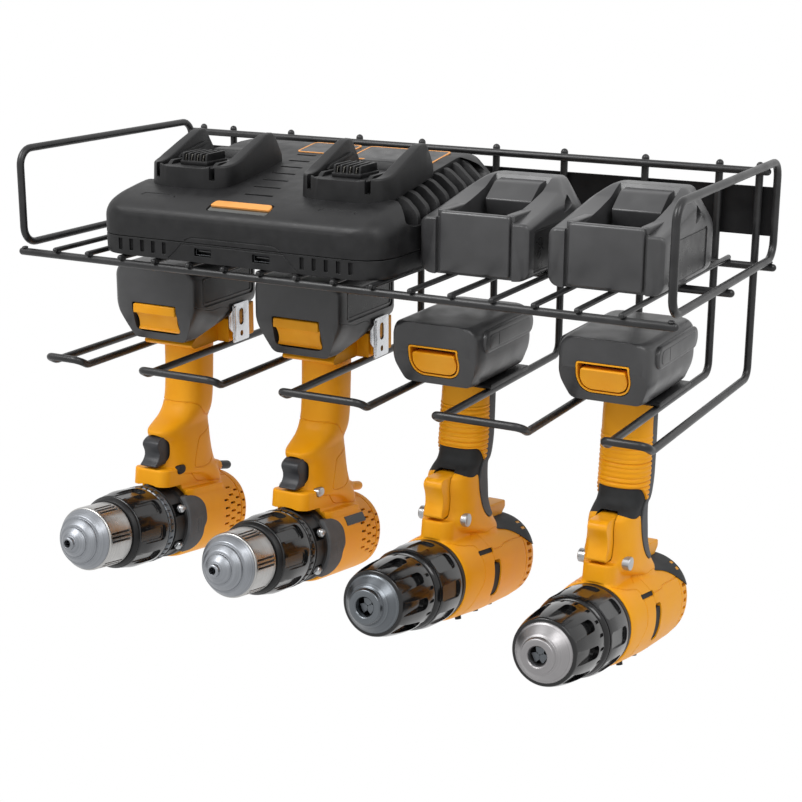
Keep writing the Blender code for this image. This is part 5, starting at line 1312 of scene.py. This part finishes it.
def make_stage(stage):
    """A pale floor under soft studio light."""
    sheet = bmesh.new()
    bmesh.ops.create_grid(sheet, x_segments=12, y_segments=12, size=6,
                          matrix=Matrix.Translation((0, 0, -stage.floor_drop)))
    mesh = bpy.data.meshes.new("floor")
    sheet.to_mesh(mesh)
    sheet.free()
    mesh.materials.append(stage_material(stage.floor_colour))
    linked("floor", mesh)
    world = bpy.data.worlds.new("studio")
    bpy.context.scene.world = world
    world.use_nodes = True
    tree = world.node_tree
    tree.nodes.clear()
    soft, seen = [add_node(tree, "ShaderNodeBackground", {"Color": (1, 1, 1, 1), "Strength": strength})
                  for strength in (stage.sky, 1)]
    mix = add_node(tree, "ShaderNodeMixShader", None,
                   {"Fac": seen_directly(tree), 1: soft.outputs["Background"], 2: seen.outputs["Background"]})
    add_node(tree, "ShaderNodeOutputWorld", None, {"Surface": mix.outputs["Shader"]})
    add_lamp("key_lamp", (-0.7, -1.1, 1.3), 0.9, stage.key)
    add_lamp("rim_lamp", (0.9, -0.6, 1), 0.7, stage.key * 0.35)


def make_camera(stage):
    """A camera at the photograph's viewing angle."""
    back = Vector((math.sin(CAMERA_TURN) * math.cos(CAMERA_RISE),
                   -math.cos(CAMERA_TURN) * math.cos(CAMERA_RISE), math.sin(CAMERA_RISE)))
    right = Vector((0, 0, 1)).cross(back).normalized()
    up = back.cross(right)
    across = right * math.cos(CAMERA_ROLL) + up * math.sin(CAMERA_ROLL)
    upward = up * math.cos(CAMERA_ROLL) - right * math.sin(CAMERA_ROLL)
    data = bpy.data.cameras.new("camera")
    data.lens = stage.lens
    data.sensor_width = 36
    camera = linked("camera", data)
    place = Matrix((across, upward, back)).transposed().to_4x4()
    place.translation = CAMERA_PLACE
    camera.matrix_world = place
    bpy.context.scene.camera = camera
    bpy.context.scene.view_settings.view_transform = 'Standard'


STEPS = ("materials", "rack", "charger", "spare_packs", "heavy_drills", "compact_drills", "stage")


class DRILLRACK_PT_panel(bpy.types.Panel):
    """The sizes and colours, and the steps in order"""
    bl_label = "Drill Rack"
    bl_idname = "DRILLRACK_PT_panel"
    bl_space_type = 'VIEW_3D'
    bl_region_type = 'UI'
    bl_category = "Drill Rack"

    def draw(self, context):
        for group in SETTINGS:
            settings = getattr(context.scene, group)
            box = self.layout.box()
            for prop in settings.bl_rna.properties:
                if not prop.is_readonly and prop.identifier != "name":
                    box.prop(settings, prop.identifier)
        for step in STEPS:
            self.layout.operator("drillrack." + step)


SETTINGS = {"drillrack_rack": RackSettings, "drillrack_drills": DrillSettings,
            "drillrack_colours": ColourSettings, "drillrack_stage": StageSettings}
CLASSES = (*SETTINGS.values(), DRILLRACK_OT_materials, DRILLRACK_OT_rack, DRILLRACK_OT_charger,
           DRILLRACK_OT_spare_packs, DRILLRACK_OT_heavy_drills, DRILLRACK_OT_compact_drills,
           DRILLRACK_OT_stage, DRILLRACK_PT_panel)


def register():
    """Add the settings, the steps and the panel."""
    for item in CLASSES:
        bpy.utils.register_class(item)
    for name, group in SETTINGS.items():
        setattr(bpy.types.Scene, name, PointerProperty(type=group))


def unregister():
    """Take them away again."""
    for name in SETTINGS:
        delattr(bpy.types.Scene, name)
    for item in reversed(CLASSES):
        bpy.utils.unregister_class(item)


def main():
    """Run every step."""
    register()
    for step in STEPS:
        getattr(bpy.ops.drillrack, step)()


if __name__ == "__main__":
    main()
